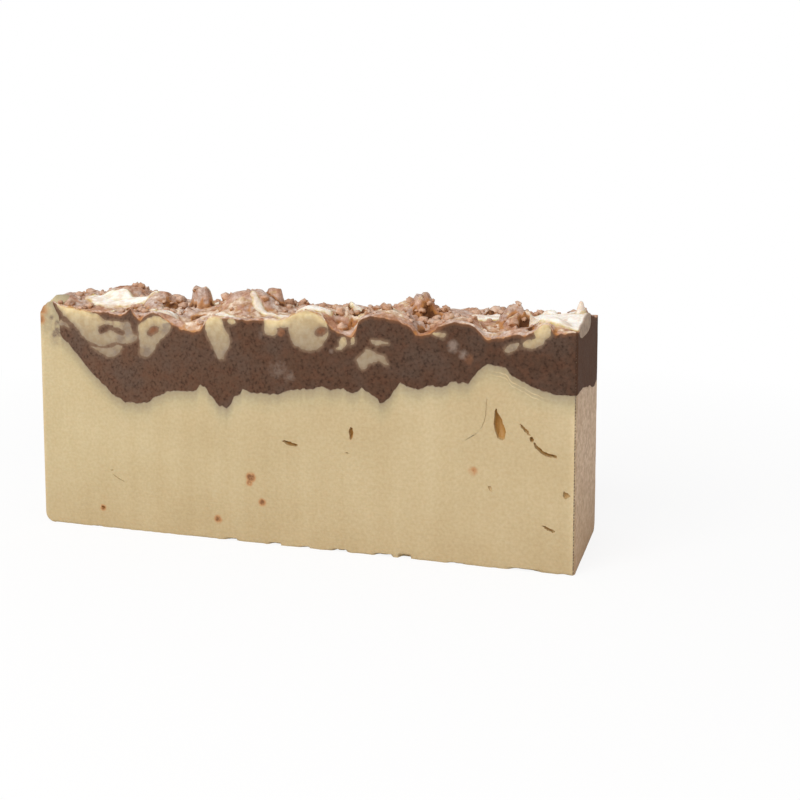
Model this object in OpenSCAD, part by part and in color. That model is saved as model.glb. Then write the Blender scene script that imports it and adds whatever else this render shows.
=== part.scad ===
// Hand-made loaf of soap: a cream base pour under a brown top pour, cast in a loaf mould,
// sawn square along the front and at the right-hand end, with a broken, crumbly top.
// Millimetres, +Z up. The origin is under the middle of the loaf, on the face it stands on.
// +X runs from the moulded end to the sawn end, and -Y faces out of the sawn front.

/* [Loaf] */
// Length of the loaf, from the moulded end to the sawn end
loaf_l = 225; // [150:5:300]
// Width of the loaf, from the sawn front to the moulded back
loaf_w = 58; // [46:1:75]

/* [Mould] */
// Radius that the mould leaves along the foot of the end and the back
foot_r = 4; // [2:0.5:6]
// Radius of the upright corner between the moulded end and back
corner_r = 8; // [7:0.5:14]

/* [Base pour] */
// Height of the base pour where the top pour has not sunk into it
base_h = 60; // [45:1:75]
// How far the buried part of the pour line waves up and down
pour_wave = 4; // [1:0.5:6]

/* [Top pour] */
// Thickness of the top pour, from there to the general level of its crest
pour_h = 30; // [27:1:40]
// Width of the strip behind the sawn front in which the crest settles to the top
crest_w = 5; // [3:0.5:9]
// How far the top sinks just behind the crest
sink_d = 1; // [0:0.5:3]
// Distance from the sawn front to the ridge that the top rises to
ridge_y = 30; // [20:1:36]
// How far the top falls again from the ridge to the moulded back
back_drop = 4; // [0:0.5:6]
// Height of the large folds of the top
fold_h = 0.8; // [0.4:0.1:2]
// Height of the crumbs
crumb_h = 2.4; // [1:0.1:3]
// Spacing of the crumbs
crumb_gap = 6.1; // [5:0.1:9]

/* [Swirls] */
// How deep the cream swirls reach in from the sawn front
swirl_d = 9; // [4:0.5:14]
// Thickness of the cream drizzle where the top lies lowest
drizzle_d = 2; // [1:0.5:4]

/* [Bubbles and chips] */
// Depth of the air bubbles that the saw opened
bubble_d = 3; // [1:0.5:5]
// How far the chips along the front foot reach in
chip_d = 2.5; // [1:0.5:4]

/* [Hidden] */

cream = [0.87, 0.78, 0.60];
brown = [0.40, 0.29, 0.23];
pale_cream = [0.90, 0.83, 0.68];

// Height of the loaf to the general level of its crest
loaf_h = base_h + pour_h;

// Spacing of the height points along the loaf, and how far the cutting shapes run past it
line_step = 2.5;
line_rows = 5;
top_step = 2.6;
top_rows = 21;
past = 3;
// The tallest lump stays under this height above the general level of the top
headroom = 12;

// Pour line on the sawn front: distance from the moulded end, height above base_h
pour_line = [
    [0, 42], [7, 40], [8, 33], [9.5, 24], [13, 20], [17, 15], [22, 9], [26, 4], [35, -3.5],
    [40, -6], [50, -6], [53, -4], [61, -0.5], [73, 1], [75, 3], [78, 0], [81, -5], [83, -5.5],
    [85, -3.5], [86.5, -6], [89, -4], [93, 2], [97, 1], [111, 2], [121, 4], [129, 5],
    [136, 3.5], [143, 5], [147, 3], [150, 0], [152, 1], [158, 8], [166, 6.5], [175, 9],
    [183, 10], [186, 14], [191, 17], [195, 16], [201, 11.5], [211, 8], [217, 7]
];

// Crest of the sawn front: distance from the moulded end, height above loaf_h
crest_line = [
    [0, -1], [2, 1.5], [6, 4], [12, 3], [20, 2.5], [27, 0.5], [33, 1], [38, -0.5], [43, 3],
    [47, -1.5], [53, 2], [60, -2], [66, -4.5], [72, -6], [77, -3.5], [81, 1], [93, 0.5],
    [111, 1], [114, 3.5], [118, 4.5], [123, 4], [130, -0.5], [134, -4.5], [140, -4.5],
    [141.5, 1.5], [145, 3.5], [149, 4], [155, 3.5], [160, 2.5], [162.5, 1], [164, -2.5],
    [167, -3.5], [170, -2], [177, 2], [183, 3], [186, 2], [189, -1], [192, -3], [199, -1.5],
    [204, -1], [211, 2], [214, 2.5], [217, -1], [221.5, 0.5]
];

// The ridge behind it: distance from the moulded end, height above loaf_h
ridge_line = [
    [0, 3.5], [9, 4.2], [20, 4.5], [30, 4], [40, 3.5], [50, 2.2], [60, 1], [67, 1], [75, 3],
    [86, 3.2], [96, 1.8], [103, 1], [114, 0.4], [122, 0.8], [130, 0.6], [137, 0.8], [146, 2.5],
    [154, 3], [161, 2.6], [168, 2.2], [176, 2.6], [183, 1.8], [190, 1.4], [200, 2.4], [211, 2],
    [220, 2.8], [225, 3]
];

// Lumps on the top: distance from the moulded end, distance from the sawn front,
// half length, half width, and height above the general level
lumps = [
    [3, 17, 11, 15, 5.4], [22, 33, 16, 18, 7.9], [44, 24, 10, 13, 6.2],
    [61.5, 27, 6.5, 7.5, 8.8], [85, 24, 17, 19, 8.3], [94, 32, 6.5, 7.5, 8.8],
    [121, 7, 13, 11, 4.6], [132.5, 16, 9, 10, 4.8], [149, 9, 15, 14, 4.6], [154, 24, 10, 12, 6],
    [160.5, 26, 7, 9, 9.2], [179, 8, 12, 12, 3.2], [199, 21, 8.5, 8.5, 6], [209, 34, 6, 7, 3.4],
    [213, 8, 9, 10, 3.4], [225, 31, 3.5, 4.5, 7.4], [20, 49, 11, 10, 5], [72, 47, 10, 9, 4.5],
    [149, 43, 8, 10, 4]
];

// Hollows between them, in the same order, with depths
hollows = [
    [66, 9, 10, 10, 4], [112, 24, 9, 9, 1.2], [136, 6, 7, 7, 3.5], [166.5, 7, 5.5, 7, 5],
    [193, 9, 10, 9, 2.4], [204, 15, 6, 5, 3], [52, 19, 6, 6, 2], [183, 33, 9, 6, 1.2]
];

// Places where the top is broken to crumbs, in the same order, without a depth
crumbles = [
    [54, 21, 10, 11], [132, 17, 10, 10], [163, 17, 10, 14], [200, 19, 10, 9], [214, 42, 12, 10],
    [30, 44, 14, 11], [182, 42, 11, 9], [98, 45, 14, 9], [140, 42, 9, 10], [74, 46, 10, 8],
    [9, 30, 8, 14], [113, 24, 10, 8]
];

// Outlines of the cream in the brown on the sawn front: distance from the moulded end,
// height above loaf_h. A second outline is a brown eye in it.
swirls = [
    [[[7, 12], [7, 3], [10.5, -1], [15.5, -5], [19, -8.5], [23, -12], [28, -13.5], [35, -13.5],
      [39, -12], [43, -12], [46, -9.5], [44, -8], [44, -5], [46.5, -3.5], [39, -3], [30, -3],
      [29.5, -0.5], [22, 1], [20, 12]],
     [[28.5, -5], [28, -8], [31, -8], [34, -6.5], [39.5, -9], [41, -7.5], [35, -5.5], [30, -4.5]]],
    [[[24, -14.5], [27, -16], [30, -17.5], [34.5, -18.5], [38, -16], [39.5, -13.2], [37, -13.2],
      [32.5, -14.6]], []],
    [[[48, -3.5], [53.5, 0], [58, -0.5], [62, -4], [61.5, -6], [58, -8.5], [54.5, -12.5],
      [52, -16], [48.5, -16.5], [47.5, -10]],
     [[51, -5.5], [54, -4.5], [56.5, -5.5], [56, -7.5], [53.5, -8.5], [51, -8]]],
    [[[76.5, -1], [78, 12], [85, 12], [84.5, -2], [87.5, -7.5], [88, -10], [85.5, -13],
      [84, -17.5], [82, -15], [79.5, -11], [76, -7]], []],
    [[[102.5, 12], [102.5, -5.5], [106, -6.5], [109, -5], [109.5, -2], [115, -1.5],
      [119, 3], [119, 12]], []],
    [[[132, -9.5], [134.5, -7], [138, -6], [137, -8.5], [134, -10.5]], []],
    [[[146, -6.5], [149, -6], [154.5, -7], [151.5, -8.5], [148.5, -8.5]], []],
    [[[140, -14], [144.5, -9], [148.5, -10], [152, -11], [154, -16], [149.5, -13.7],
      [145.5, -15], [144, -18], [142, -17.5]], []],
    [[[212, 12], [216, 12], [215.5, 1.5], [215, -2.5], [211.5, -5.5], [207.5, -7.5], [204.5, -6],
      [204.8, -4], [209, -4], [209.5, -1.5]], []],
    [[[198, -7.5], [200.5, -4.5], [203.9, -4.2], [203.9, -6], [201, -8.5]], []]
];

// The round cream blob on the sawn front, with its brown eye: distance from the moulded end,
// height above loaf_h, radius
blob = [121, -3.5, 8.2];
blob_eye = [126.4, -3.4, 2.6];

// Outlines of the cream drizzle seen from above: distance from the moulded end, distance from
// the sawn front
drizzles = [
    [[9, 20], [20, 14], [34, 17], [43, 24], [38, 33], [25, 38], [12, 34]],
    [[75, 7], [77.5, 3], [84.5, 3], [84, 8], [81, 19], [76, 20]],
    [[82, 22], [89, 13], [104, 6], [112, 9], [106, 15], [94, 20], [87, 27]],
    [[112, 9], [114, 3], [128, 3], [130, 9], [124, 19], [116, 18]]
];

// The drizzle that the saw cut through at the sawn end, measured from that end
end_drizzle = [[-19, 20], [-14, 8], [-6, 6], [10, 12], [10, 36], [-11, 40], [-21, 32]];

// Outlines of the bubbles and slits on the sawn front: distance from the moulded end, height
bubbles = [
    [[195.6, 61], [194.4, 57], [195.6, 50], [197.4, 48.4], [199.2, 50], [198.4, 56]],
    [[204.2, 54.6], [205.6, 54.2], [208.4, 51.6], [209, 49.4], [213.4, 46.2], [217.6, 44.8],
     [217.4, 44], [213, 45], [208.2, 48.4], [207, 51.2]],
    [[110, 41.9], [113, 41.9], [116, 40.8], [113.4, 40.4]],
    [[138, 49.6], [139.2, 49.2], [138.9, 45], [137.6, 44.6], [137.7, 47]],
    [[27.8, 8.5], [28.6, 9.2], [29.4, 8.4], [28.6, 7.8]],
    [[33.6, 23.4], [34.4, 23.6], [40.4, 19.4], [39.8, 19]],
    [[212, 18.9], [214.5, 18.2], [217, 16.6], [214.2, 17.4]]
];

// Chips along the foot of the sawn front: distance from the moulded end, length, height
chips = [[84, 6, 0.8], [103, 6, 0.9], [117, 4, 0.7], [130, 7, 0.8], [147, 9, 1], [157, 6, 1.8]];

function mix(a, b, t) = a + (b - a) * t;
function ease(t) = let (u = min(max(t, 0), 1)) u * u * (3 - 2 * u);

// A fixed number between 0 and 1 for each whole i, j
function scatter(i, j, seed) =
    let (v = sin(i * 127.1 + j * 311.7 + seed * 74.7) * 43758.5453) v - floor(v);

// Smooth unevenness between -1 and 1, about one unit across
function uneven(x, y, seed) =
    let (i = floor(x), j = floor(y), u = ease(x - i), v = ease(y - j))
    2 * mix(mix(scatter(i, j, seed), scatter(i + 1, j, seed), u),
            mix(scatter(i, j + 1, seed), scatter(i + 1, j + 1, seed), u), v) - 1;

// How far x, y lies inside a lump, hollow or crumbly place: 0 at its rim, 1 in its middle
function within(x, y, spot) =
    max(0, 1 - norm([(x - spot[0]) / spot[2], (y - spot[1]) / spot[3]]));

// Height of a soft-shouldered lump, or depth of a hollow, at x, y
function dome(x, y, lump) = lump[4] * ease(1.25 * within(x, y, lump));

// Height of the crumb at x, y. Each cell of the scatter pattern holds one, of its own height,
// with a crack between it and the next.
function crumb(x, y) =
    let (cells = [for (di = [-1:1], dj = [-1:1]) [floor(x / crumb_gap) + di, floor(y / crumb_gap) + dj]],
         away = [for (c = cells) norm([x - (c[0] + 0.1 + 0.8 * scatter(c[0], c[1], 51)) * crumb_gap,
                                       y - (c[1] + 0.1 + 0.8 * scatter(c[0], c[1], 52)) * crumb_gap])],
         nearest = min(away),
         next = min([for (d = away) if (d > nearest) d]),
         own = cells[search(nearest, away)[0]])
    crumb_h * (0.45 + 0.55 * scatter(own[0], own[1], 53)) * ease((next - nearest) / (0.4 * crumb_gap));

// Height of the top at a distance x from the moulded end and y from the sawn front
function top_height(x, y) =
    let (folds = fold_h * (uneven(x / 13, y / 13, 1) + 0.6 * uneven(x / 5, y / 5, 2)),
         rise = mix(-sink_d, lookup(x, ridge_line), ease(y / ridge_y)),
         fall = back_drop * ease((y - ridge_y) / (loaf_w - ridge_y)),
         heap = max([for (lump = lumps) dome(x, y, lump)]),
         dip = max([for (hollow = hollows) dome(x, y, hollow)]),
         broken = ease(3 * max([for (place = crumbles) within(x, y, place)])),
         inner = folds + max(rise - fall, heap) - dip + broken * (crumb(x, y) - 0.4 * crumb_h))
    loaf_h + mix(lookup(x, crest_line), inner, ease(y / crest_w));

// Height of the pour line at x, y. It follows pour_line on the sawn front and waves more
// freely towards the moulded back.
function pour_height(x, y) =
    let (buried = pour_wave * (uneven(x / 17, y / 17, 3) + 0.5 * uneven(x / 7, y / 7, 4)),
         t = ease(y / loaf_w))
    base_h + mix(lookup(x, pour_line), 3 + buried, t) + 0.5 * buried * t * (1 - t) * 4;

// Rounds a closed outline by cutting each of its corners
function rounded(points) =
    [for (i = [0:len(points) - 1], t = [0.25, 0.75]) mix(points[i], points[(i + 1) % len(points)], t)];

// Moves what is drawn from the corner under the moulded end and the sawn front to its place
module from_corner() {
    translate([-loaf_l / 2, -loaf_w / 2, 0]) children();
}

// Stands a drawing of the sawn front upright and gives it depth, inwards from the front
module into_front(depth) {
    from_corner() translate([0, depth, 0]) rotate([90, 0, 0]) linear_extrude(depth + past) children();
}

// Everything under a height that varies over the loaf
module under(height, step_x, rows) {
    cols = ceil((loaf_l + 2 * past) / step_x);
    function place_x(i) = mix(-past, loaf_l + past, i / cols);
    function place_y(j) = mix(-past, loaf_w + past, pow(j / rows, 1.25));
    function at(i, j) = j * (cols + 1) + i;
    n = (cols + 1) * (rows + 1);
    points = [
        for (j = [0:rows], i = [0:cols])
            [place_x(i), place_y(j), height(min(max(place_x(i), 0), loaf_l), max(place_y(j), 0))],
        for (y = [-past, loaf_w + past], x = [-past, loaf_l + past]) [x, y, -past]
    ];
    faces = [
        for (j = [0:rows - 1], i = [0:cols - 1], half = [0, 1])
            let (a = at(i, j), b = at(i + 1, j), c = at(i + 1, j + 1), d = at(i, j + 1))
            (i + j) % 2 == 0 ? (half == 0 ? [a, c, b] : [a, d, c])
                             : (half == 0 ? [a, d, b] : [b, d, c]),
        [n, for (i = [0:cols]) at(i, 0), n + 1],
        [n + 3, for (i = [cols:-1:0]) at(i, rows), n + 2],
        [n + 2, for (j = [rows:-1:0]) at(0, j), n],
        [n + 1, for (j = [0:rows]) at(cols, j), n + 3],
        [n, n + 1, n + 3, n + 2]
    ];
    from_corner() polyhedron(points, faces);
}

module under_top() {
    under(function (x, y) top_height(x, y), top_step, top_rows);
}

module under_pour_line() {
    under(function (x, y) pour_height(x, y), line_step, line_rows);
}

// The block that the mould and the saw leave: square at the front and the sawn end, rounded
// along the foot of the moulded end and back and up the corner between them
module sawn_block() {
    block_h = loaf_h + headroom;
    back = loaf_w - corner_r;
    from_corner() {
        translate([0, 0, foot_r]) linear_extrude(block_h - foot_r) {
            translate([corner_r, 0]) square([loaf_l - corner_r, loaf_w]);
            square([loaf_l, back]);
            translate([corner_r, back]) circle(r = corner_r, $fn = 64);
        }
        translate([corner_r, 0, 0]) cube([loaf_l - corner_r, loaf_w - foot_r, block_h]);
        translate([foot_r, 0, 0]) cube([loaf_l - foot_r, back, block_h]);
        translate([foot_r, back, foot_r]) rotate([90, 0, 0]) cylinder(r = foot_r, h = back, $fn = 48);
        translate([corner_r, loaf_w - foot_r, foot_r]) rotate([0, 90, 0])
            cylinder(r = foot_r, h = loaf_l - corner_r, $fn = 48);
        translate([corner_r, back, 0]) rotate_extrude($fn = 64) {
            square([corner_r - foot_r, block_h]);
            translate([corner_r - foot_r, foot_r]) intersection() {
                circle(r = foot_r, $fn = 48);
                translate([0, -foot_r]) square([foot_r, 2 * foot_r]);
            }
        }
    }
}

module whole_loaf() {
    intersection() {
        sawn_block();
        under_top();
    }
}

module swirl_shapes() {
    into_front(swirl_d) translate([0, loaf_h]) {
        for (swirl = swirls) difference() {
            polygon(rounded(swirl[0]));
            if (len(swirl[1]) > 0) polygon(rounded(swirl[1]));
        }
        difference() {
            translate([blob[0], blob[1]]) circle(r = blob[2], $fn = 40);
            translate([blob_eye[0], blob_eye[1]]) circle(r = blob_eye[2], $fn = 20);
        }
    }
}

module drizzle_shapes() {
    floor_h = loaf_h - sink_d - drizzle_d;
    from_corner() translate([0, 0, floor_h]) linear_extrude(loaf_h + headroom - floor_h) {
        for (drizzle = drizzles) polygon(rounded(drizzle));
        translate([loaf_l, 0]) polygon(rounded(end_drizzle));
    }
}

module bubble_shapes() {
    into_front(bubble_d) for (bubble = bubbles) polygon(rounded(bubble));
}

// Chips are shallow wedges under the front edge
module chip_shapes() {
    from_corner() for (chip = chips)
        translate([chip[0], 0, 0]) rotate([90, 0, 90]) linear_extrude(chip[1])
            polygon([[-past, -past], [-past, chip[2]], [0, chip[2]], [chip_d, 0], [chip_d, -past]]);
}

module cream_base() {
    color(cream) difference() {
        intersection() {
            whole_loaf();
            under_pour_line();
        }
        bubble_shapes();
        chip_shapes();
    }
}

module brown_top() {
    color(brown) difference() {
        whole_loaf();
        under_pour_line();
        swirl_shapes();
        drizzle_shapes();
    }
}

module cream_swirls() {
    color(pale_cream) difference() {
        intersection() {
            whole_loaf();
            union() {
                swirl_shapes();
                drizzle_shapes();
            }
        }
        under_pour_line();
    }
}

cream_base();
brown_top();
cream_swirls();
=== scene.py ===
# Hand-made loaf of soap: a cream base under a speckled brown pour with cream swirls.
# Shapes are worked out in millimetres from the corner under the moulded end and the sawn
# front, and go into the meshes in metres, in the frame's own place.
import math
import bmesh
import bpy
import numpy as np
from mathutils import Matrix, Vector


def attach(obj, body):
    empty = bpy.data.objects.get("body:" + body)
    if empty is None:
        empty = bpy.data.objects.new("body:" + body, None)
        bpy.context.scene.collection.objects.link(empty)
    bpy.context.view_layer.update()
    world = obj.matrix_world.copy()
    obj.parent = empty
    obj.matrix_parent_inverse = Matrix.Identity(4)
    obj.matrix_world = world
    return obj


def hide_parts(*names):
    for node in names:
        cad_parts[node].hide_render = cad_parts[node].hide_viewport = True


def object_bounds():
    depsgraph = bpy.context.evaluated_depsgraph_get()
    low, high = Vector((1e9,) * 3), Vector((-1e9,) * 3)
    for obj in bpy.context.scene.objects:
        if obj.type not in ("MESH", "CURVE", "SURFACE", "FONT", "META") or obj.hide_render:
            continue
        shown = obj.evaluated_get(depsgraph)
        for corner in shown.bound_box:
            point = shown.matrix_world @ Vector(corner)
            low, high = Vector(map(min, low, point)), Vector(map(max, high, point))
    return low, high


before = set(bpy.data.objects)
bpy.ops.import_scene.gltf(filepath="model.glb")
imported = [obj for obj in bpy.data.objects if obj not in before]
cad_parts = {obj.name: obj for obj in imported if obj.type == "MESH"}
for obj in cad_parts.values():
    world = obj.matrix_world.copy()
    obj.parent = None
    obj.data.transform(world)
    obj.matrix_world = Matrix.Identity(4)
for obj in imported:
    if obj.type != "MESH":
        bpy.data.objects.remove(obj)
cadLow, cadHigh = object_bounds()
print("frame loaded:", ", ".join(sorted(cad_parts)))

mm = 0.001
loafLength = (cadHigh.x - cadLow.x) / mm
loafWidth = (cadHigh.y - cadLow.y) / mm
tallest = cadHigh.z / mm - 0.1  # nothing on the top reaches higher
half = loafLength / 2 * mm
farOutside = -5.0  # for points too far from any outline to matter


# Small helpers for numbers, meshes and nodes

def toLinear(hexText):
    # sRGB hex to the linear colour that the shaders use
    channels = [int(hexText[i:i + 2], 16) / 255 for i in (1, 3, 5)]
    return [c / 12.92 if c <= 0.04045 else ((c + 0.055) / 1.055) ** 2.4 for c in channels] + [1.0]


def ease(t):
    u = np.clip(t, 0, 1)
    return u * u * (3 - 2 * u)


def mix(a, b, t):
    return a + (b - a) * t


def scatter(i, j, seed):
    # a fixed number between 0 and 1 for each whole i, j
    v = np.sin(np.radians(i * 127.1 + j * 311.7 + seed * 74.7)) * 43758.5453
    return v - np.floor(v)


def uneven(x, y, seed):
    # smooth unevenness between -1 and 1, about one unit across
    i, j = np.floor(x), np.floor(y)
    u, v = ease(x - i), ease(y - j)
    low = mix(scatter(i, j, seed), scatter(i + 1, j, seed), u)
    high = mix(scatter(i, j + 1, seed), scatter(i + 1, j + 1, seed), u)
    return 2 * mix(low, high, v) - 1


def layered(x, y, seed, layers):
    # layers of unevenness on each other, each given by its height and size in millimetres
    return sum(height * uneven(x / size, y / size, seed + k) for k, (height, size) in enumerate(layers))


def chunks(x, y, gap, seed):
    # broken lumps about one gap across, 0 in the cracks and up to 1 on the tallest
    nearest = np.full(x.shape, 1e9)
    second = np.full(x.shape, 1e9)
    height = np.zeros(x.shape)
    for di in (-1, 0, 1):
        for dj in (-1, 0, 1):
            i, j = np.floor(x / gap) + di, np.floor(y / gap) + dj
            dx = x - (i + 0.1 + 0.8 * scatter(i, j, seed)) * gap
            dy = y - (j + 0.1 + 0.8 * scatter(i, j, seed + 1)) * gap
            away = np.hypot(dx, dy)
            closer = away < nearest
            second = np.where(closer, nearest, np.minimum(second, away))
            height = np.where(closer, 0.45 + 0.55 * scatter(i, j, seed + 2), height)
            nearest = np.where(closer, away, nearest)
    return height * ease((second - nearest) / (0.4 * gap))


def rounded(points, passes=3):
    # rounds the corners of a closed outline by cutting each of them
    points = np.array(points, float)
    for _ in range(passes):
        after = np.roll(points, -1, axis=0)
        points = np.stack([mix(points, after, 0.25), mix(points, after, 0.75)], 1).reshape(-1, 2)
    return points


def wobbly(points, amount, grain, seed):
    # a rounded outline with the small unevenness of two soaps that ran into each other
    points = rounded(points)
    u, v = points[:, 0] / grain, points[:, 1] / grain
    shift = [uneven(u, v, seed + k) + 0.6 * uneven(2.7 * u, 2.7 * v, seed + k + 40) for k in (0, 1)]
    return points + amount * np.stack(shift, 1)


def insideBy(x, y, outline):
    # how far inside a closed outline each point lies; negative outside
    nearest = np.full(x.shape, 1e9)
    crossed = np.zeros(x.shape, bool)
    for (ax, ay), (bx, by) in zip(outline, np.roll(outline, -1, axis=0)):
        ex, ey = bx - ax, by - ay
        along = np.clip(((x - ax) * ex + (y - ay) * ey) / max(ex * ex + ey * ey, 1e-9), 0, 1)
        nearest = np.minimum(nearest, np.hypot(x - ax - along * ex, y - ay - along * ey))
        if ay != by:
            crossed ^= ((ay > y) != (by > y)) & (x < ex * (y - ay) / ey + ax)
    return np.where(crossed, nearest, -nearest)


def nearTo(x, y, outline, margin):
    # whether each point lies in the outline's box, widened by a margin
    boxed = [np.abs(v - line.mean()) < np.ptp(line) / 2 + margin for v, line in zip((x, y), outline.T)]
    return boxed[0] & boxed[1]


def addObject(name, data):
    thing = bpy.data.objects.new(name, data)
    bpy.context.scene.collection.objects.link(thing)
    return thing


def newPiece(name, points, faces):
    # points in millimetres from the loaf's corner
    points = np.array(points, float)
    place = (points - [loafLength / 2, loafWidth / 2, 0]) * mm
    mesh = bpy.data.meshes.new(name)
    mesh.from_pydata(place.tolist(), [], faces)
    work = bmesh.new()
    work.from_mesh(mesh)
    bmesh.ops.recalc_face_normals(work, faces=work.faces)
    work.to_mesh(mesh)
    work.free()
    return addObject(name, mesh)


def placesOf(piece):
    # the vertices of a piece, in millimetres from the loaf's corner
    flat = np.zeros(len(piece.data.vertices) * 3)
    piece.data.vertices.foreach_get("co", flat)
    places = flat.reshape(-1, 3) / mm + [loafLength / 2, loafWidth / 2, 0]
    return places[:, 0], places[:, 1], places[:, 2]


def ringSolid(name, rings):
    # a closed skin over rings that all have the same number of points
    count = len(rings[0])
    points = np.concatenate(rings)
    faces = [list(range(count)), list(range(len(points) - 1, len(points) - 1 - count, -1))]
    for r in range(len(rings) - 1):
        for k in range(count):
            a, b = r * count + k, r * count + (k + 1) % count
            faces.append([a, a + count, b + count, b])
    return newPiece(name, points, faces)


def frontSolid(name, outline, depth, outside=2.0):
    # a body that runs in from the sawn front and closes in a rounded end
    centre = outline.mean(axis=0)
    rings = []
    for t in (-outside / depth, 0, 0.25, 0.5, 0.7, 0.85, 0.95, 0.995):
        shape = centre + (outline - centre) * math.sqrt(1 - max(t, 0) ** 2)
        rings.append(np.stack([shape[:, 0], np.full(len(shape), t * depth), shape[:, 1]], 1))
    return ringSolid(name, rings)


def sunkenSolid(name, outline, low, high):
    # a body that comes down from the top and closes in a rounded bottom
    centre = outline.mean(axis=0)
    rings = []
    for z, share in ((low, 0.5), (low + 0.6, 0.76), (low + 1.5, 0.91), (low + 2.8, 1), (high, 1)):
        shape = centre + (outline - centre) * share
        rings.append(np.column_stack([shape, np.full(len(shape), z)]))
    return ringSolid(name, rings)


def underSheet(name, xs, ys, heights):
    # everything under a height that is given over a grid
    cols, rows = len(xs), len(ys)
    grid = [[x, y, heights[j, i]] for j, y in enumerate(ys) for i, x in enumerate(xs)]
    corners = [[x, y, -3] for y in (ys[0], ys[-1]) for x in (xs[0], xs[-1])]
    at = np.arange(cols * rows).reshape(rows, cols)
    quads = np.stack([at[:-1, :-1], at[:-1, 1:], at[1:, 1:], at[1:, :-1]], -1).reshape(-1, 4).tolist()
    a, b, c, d = range(cols * rows, cols * rows + 4)
    walls = [[a, *at[0], b], [c, *at[-1], d], [a, *at[:, 0], c], [b, *at[:, -1], d], [a, b, d, c]]
    return newPiece(name, grid + corners, quads + [[int(i) for i in wall] for wall in walls])


def combine(piece, tool, operation):
    # piece with tool cut from it, joined to it, or only what both hold
    modifier = piece.modifiers.new("cut", "BOOLEAN")
    modifier.operation = operation
    modifier.solver = "MANIFOLD"
    modifier.object = tool
    return makePlain(piece)


def joined(bodies):
    # one body from several
    whole = None
    for body in bodies:
        if whole is None:
            whole = body
        else:
            combine(whole, body, "UNION")
            discard(body)
    return whole


def makePlain(piece):
    # the modifiers' result becomes the piece's own mesh
    graph = bpy.context.evaluated_depsgraph_get()
    graph.update()
    mesh = bpy.data.meshes.new_from_object(piece.evaluated_get(graph))
    piece.modifiers.clear()
    piece.data = mesh
    return piece


def discard(*pieces):
    for piece in pieces:
        bpy.data.objects.remove(piece)


def keepValue(piece, name, values):
    # one number for each vertex, for the materials
    attribute = piece.data.attributes.new(name, "FLOAT", "POINT")
    attribute.data.foreach_set("value", np.asarray(values, np.float32))


def addNode(tree, kind, settings=None, links=None):
    # settings are the node's own or its sockets' values, with colours as sRGB hex. Links go
    # into its sockets, and a node given as a link stands for its first output in use.
    node = tree.nodes.new(kind)
    for key, value in (settings or {}).items():
        if key == "stops":
            ramp = node.color_ramp
            while len(ramp.elements) < len(value):
                ramp.elements.new(0.5)
            for element, (position, colour) in zip(ramp.elements, value):
                element.position = position
                element.color = toLinear(colour) if isinstance(colour, str) else [colour] * 3 + [1]
        elif isinstance(key, str) and hasattr(node, key):
            setattr(node, key, value)
        elif isinstance(value, str) and value.startswith("#"):
            node.inputs[key].default_value = toLinear(value)
        else:
            node.inputs[key].default_value = value
    for key, source in (links or {}).items():
        if isinstance(source, bpy.types.Node):
            source = next(output for output in source.outputs if output.enabled)
        tree.links.new(source, node.inputs[key])
    return node


# The loaf's block, as the mould and the saw left it

loafShape = {
    "baseHeight": 60,  # where the brown has not sunk into the cream
    "pourHeight": 30,  # from there to the general level of the crest
    "footRadius": 4,
    "cornerRadius": 8,
    "frontEdgeRadius": 1.6,  # the soft upright edge of the moulded end
    "sawEdge": 0.7,  # how far the ragged sawn edge stands back
    "sawWaves": 0.04,
    "brokenFoot": 0.3,
    "columnStep": 0.9,
    "rowStep": 0.9,
    "blockTop": 104,
    "endPoints": 52,  # round the outline, which has columnStep along the sawn front
    "backPoints": 90,
    "mouldedEndPoints": 34,
}
loafHeight = loafShape["baseHeight"] + loafShape["pourHeight"]

# chips along the foot of the sawn front: distance from the moulded end, length, height, depth
footChips = [
    (22, 7, 0.4, 0.8), (84, 6, 0.9, 2.2), (103, 6, 0.9, 2.4), (117, 4, 0.7, 1.6), (130, 7, 0.9, 2.4),
    (147, 9, 1.0, 2.5), (157, 6, 1.6, 2.5), (176, 9, 0.5, 1.2), (199, 15, 0.8, 2.0), (219, 5, 0.4, 1.2),
]


def frontInset(x, z):
    # how far the sawn front stands back, with a broken foot and the saw's slight waves
    waves = loafShape["sawWaves"] * (1 + uneven(x / 23, z / 19, 41))
    foot = loafShape["brokenFoot"] * (1 + uneven(x / 2.1, 0 * x, 42)) * ease(1 - z / 0.6)
    for start, length, height, depth in footChips:
        across = np.clip(1 - np.abs(x - start - length / 2) * 2 / length, 0, 1)
        ragged = 1 + 0.3 * uneven(x / 1.3, 0 * x, 43)
        foot = np.maximum(foot, depth * ragged * ease(2 * across) * ease(1.2 - z / height))
    return waves + foot


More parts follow.
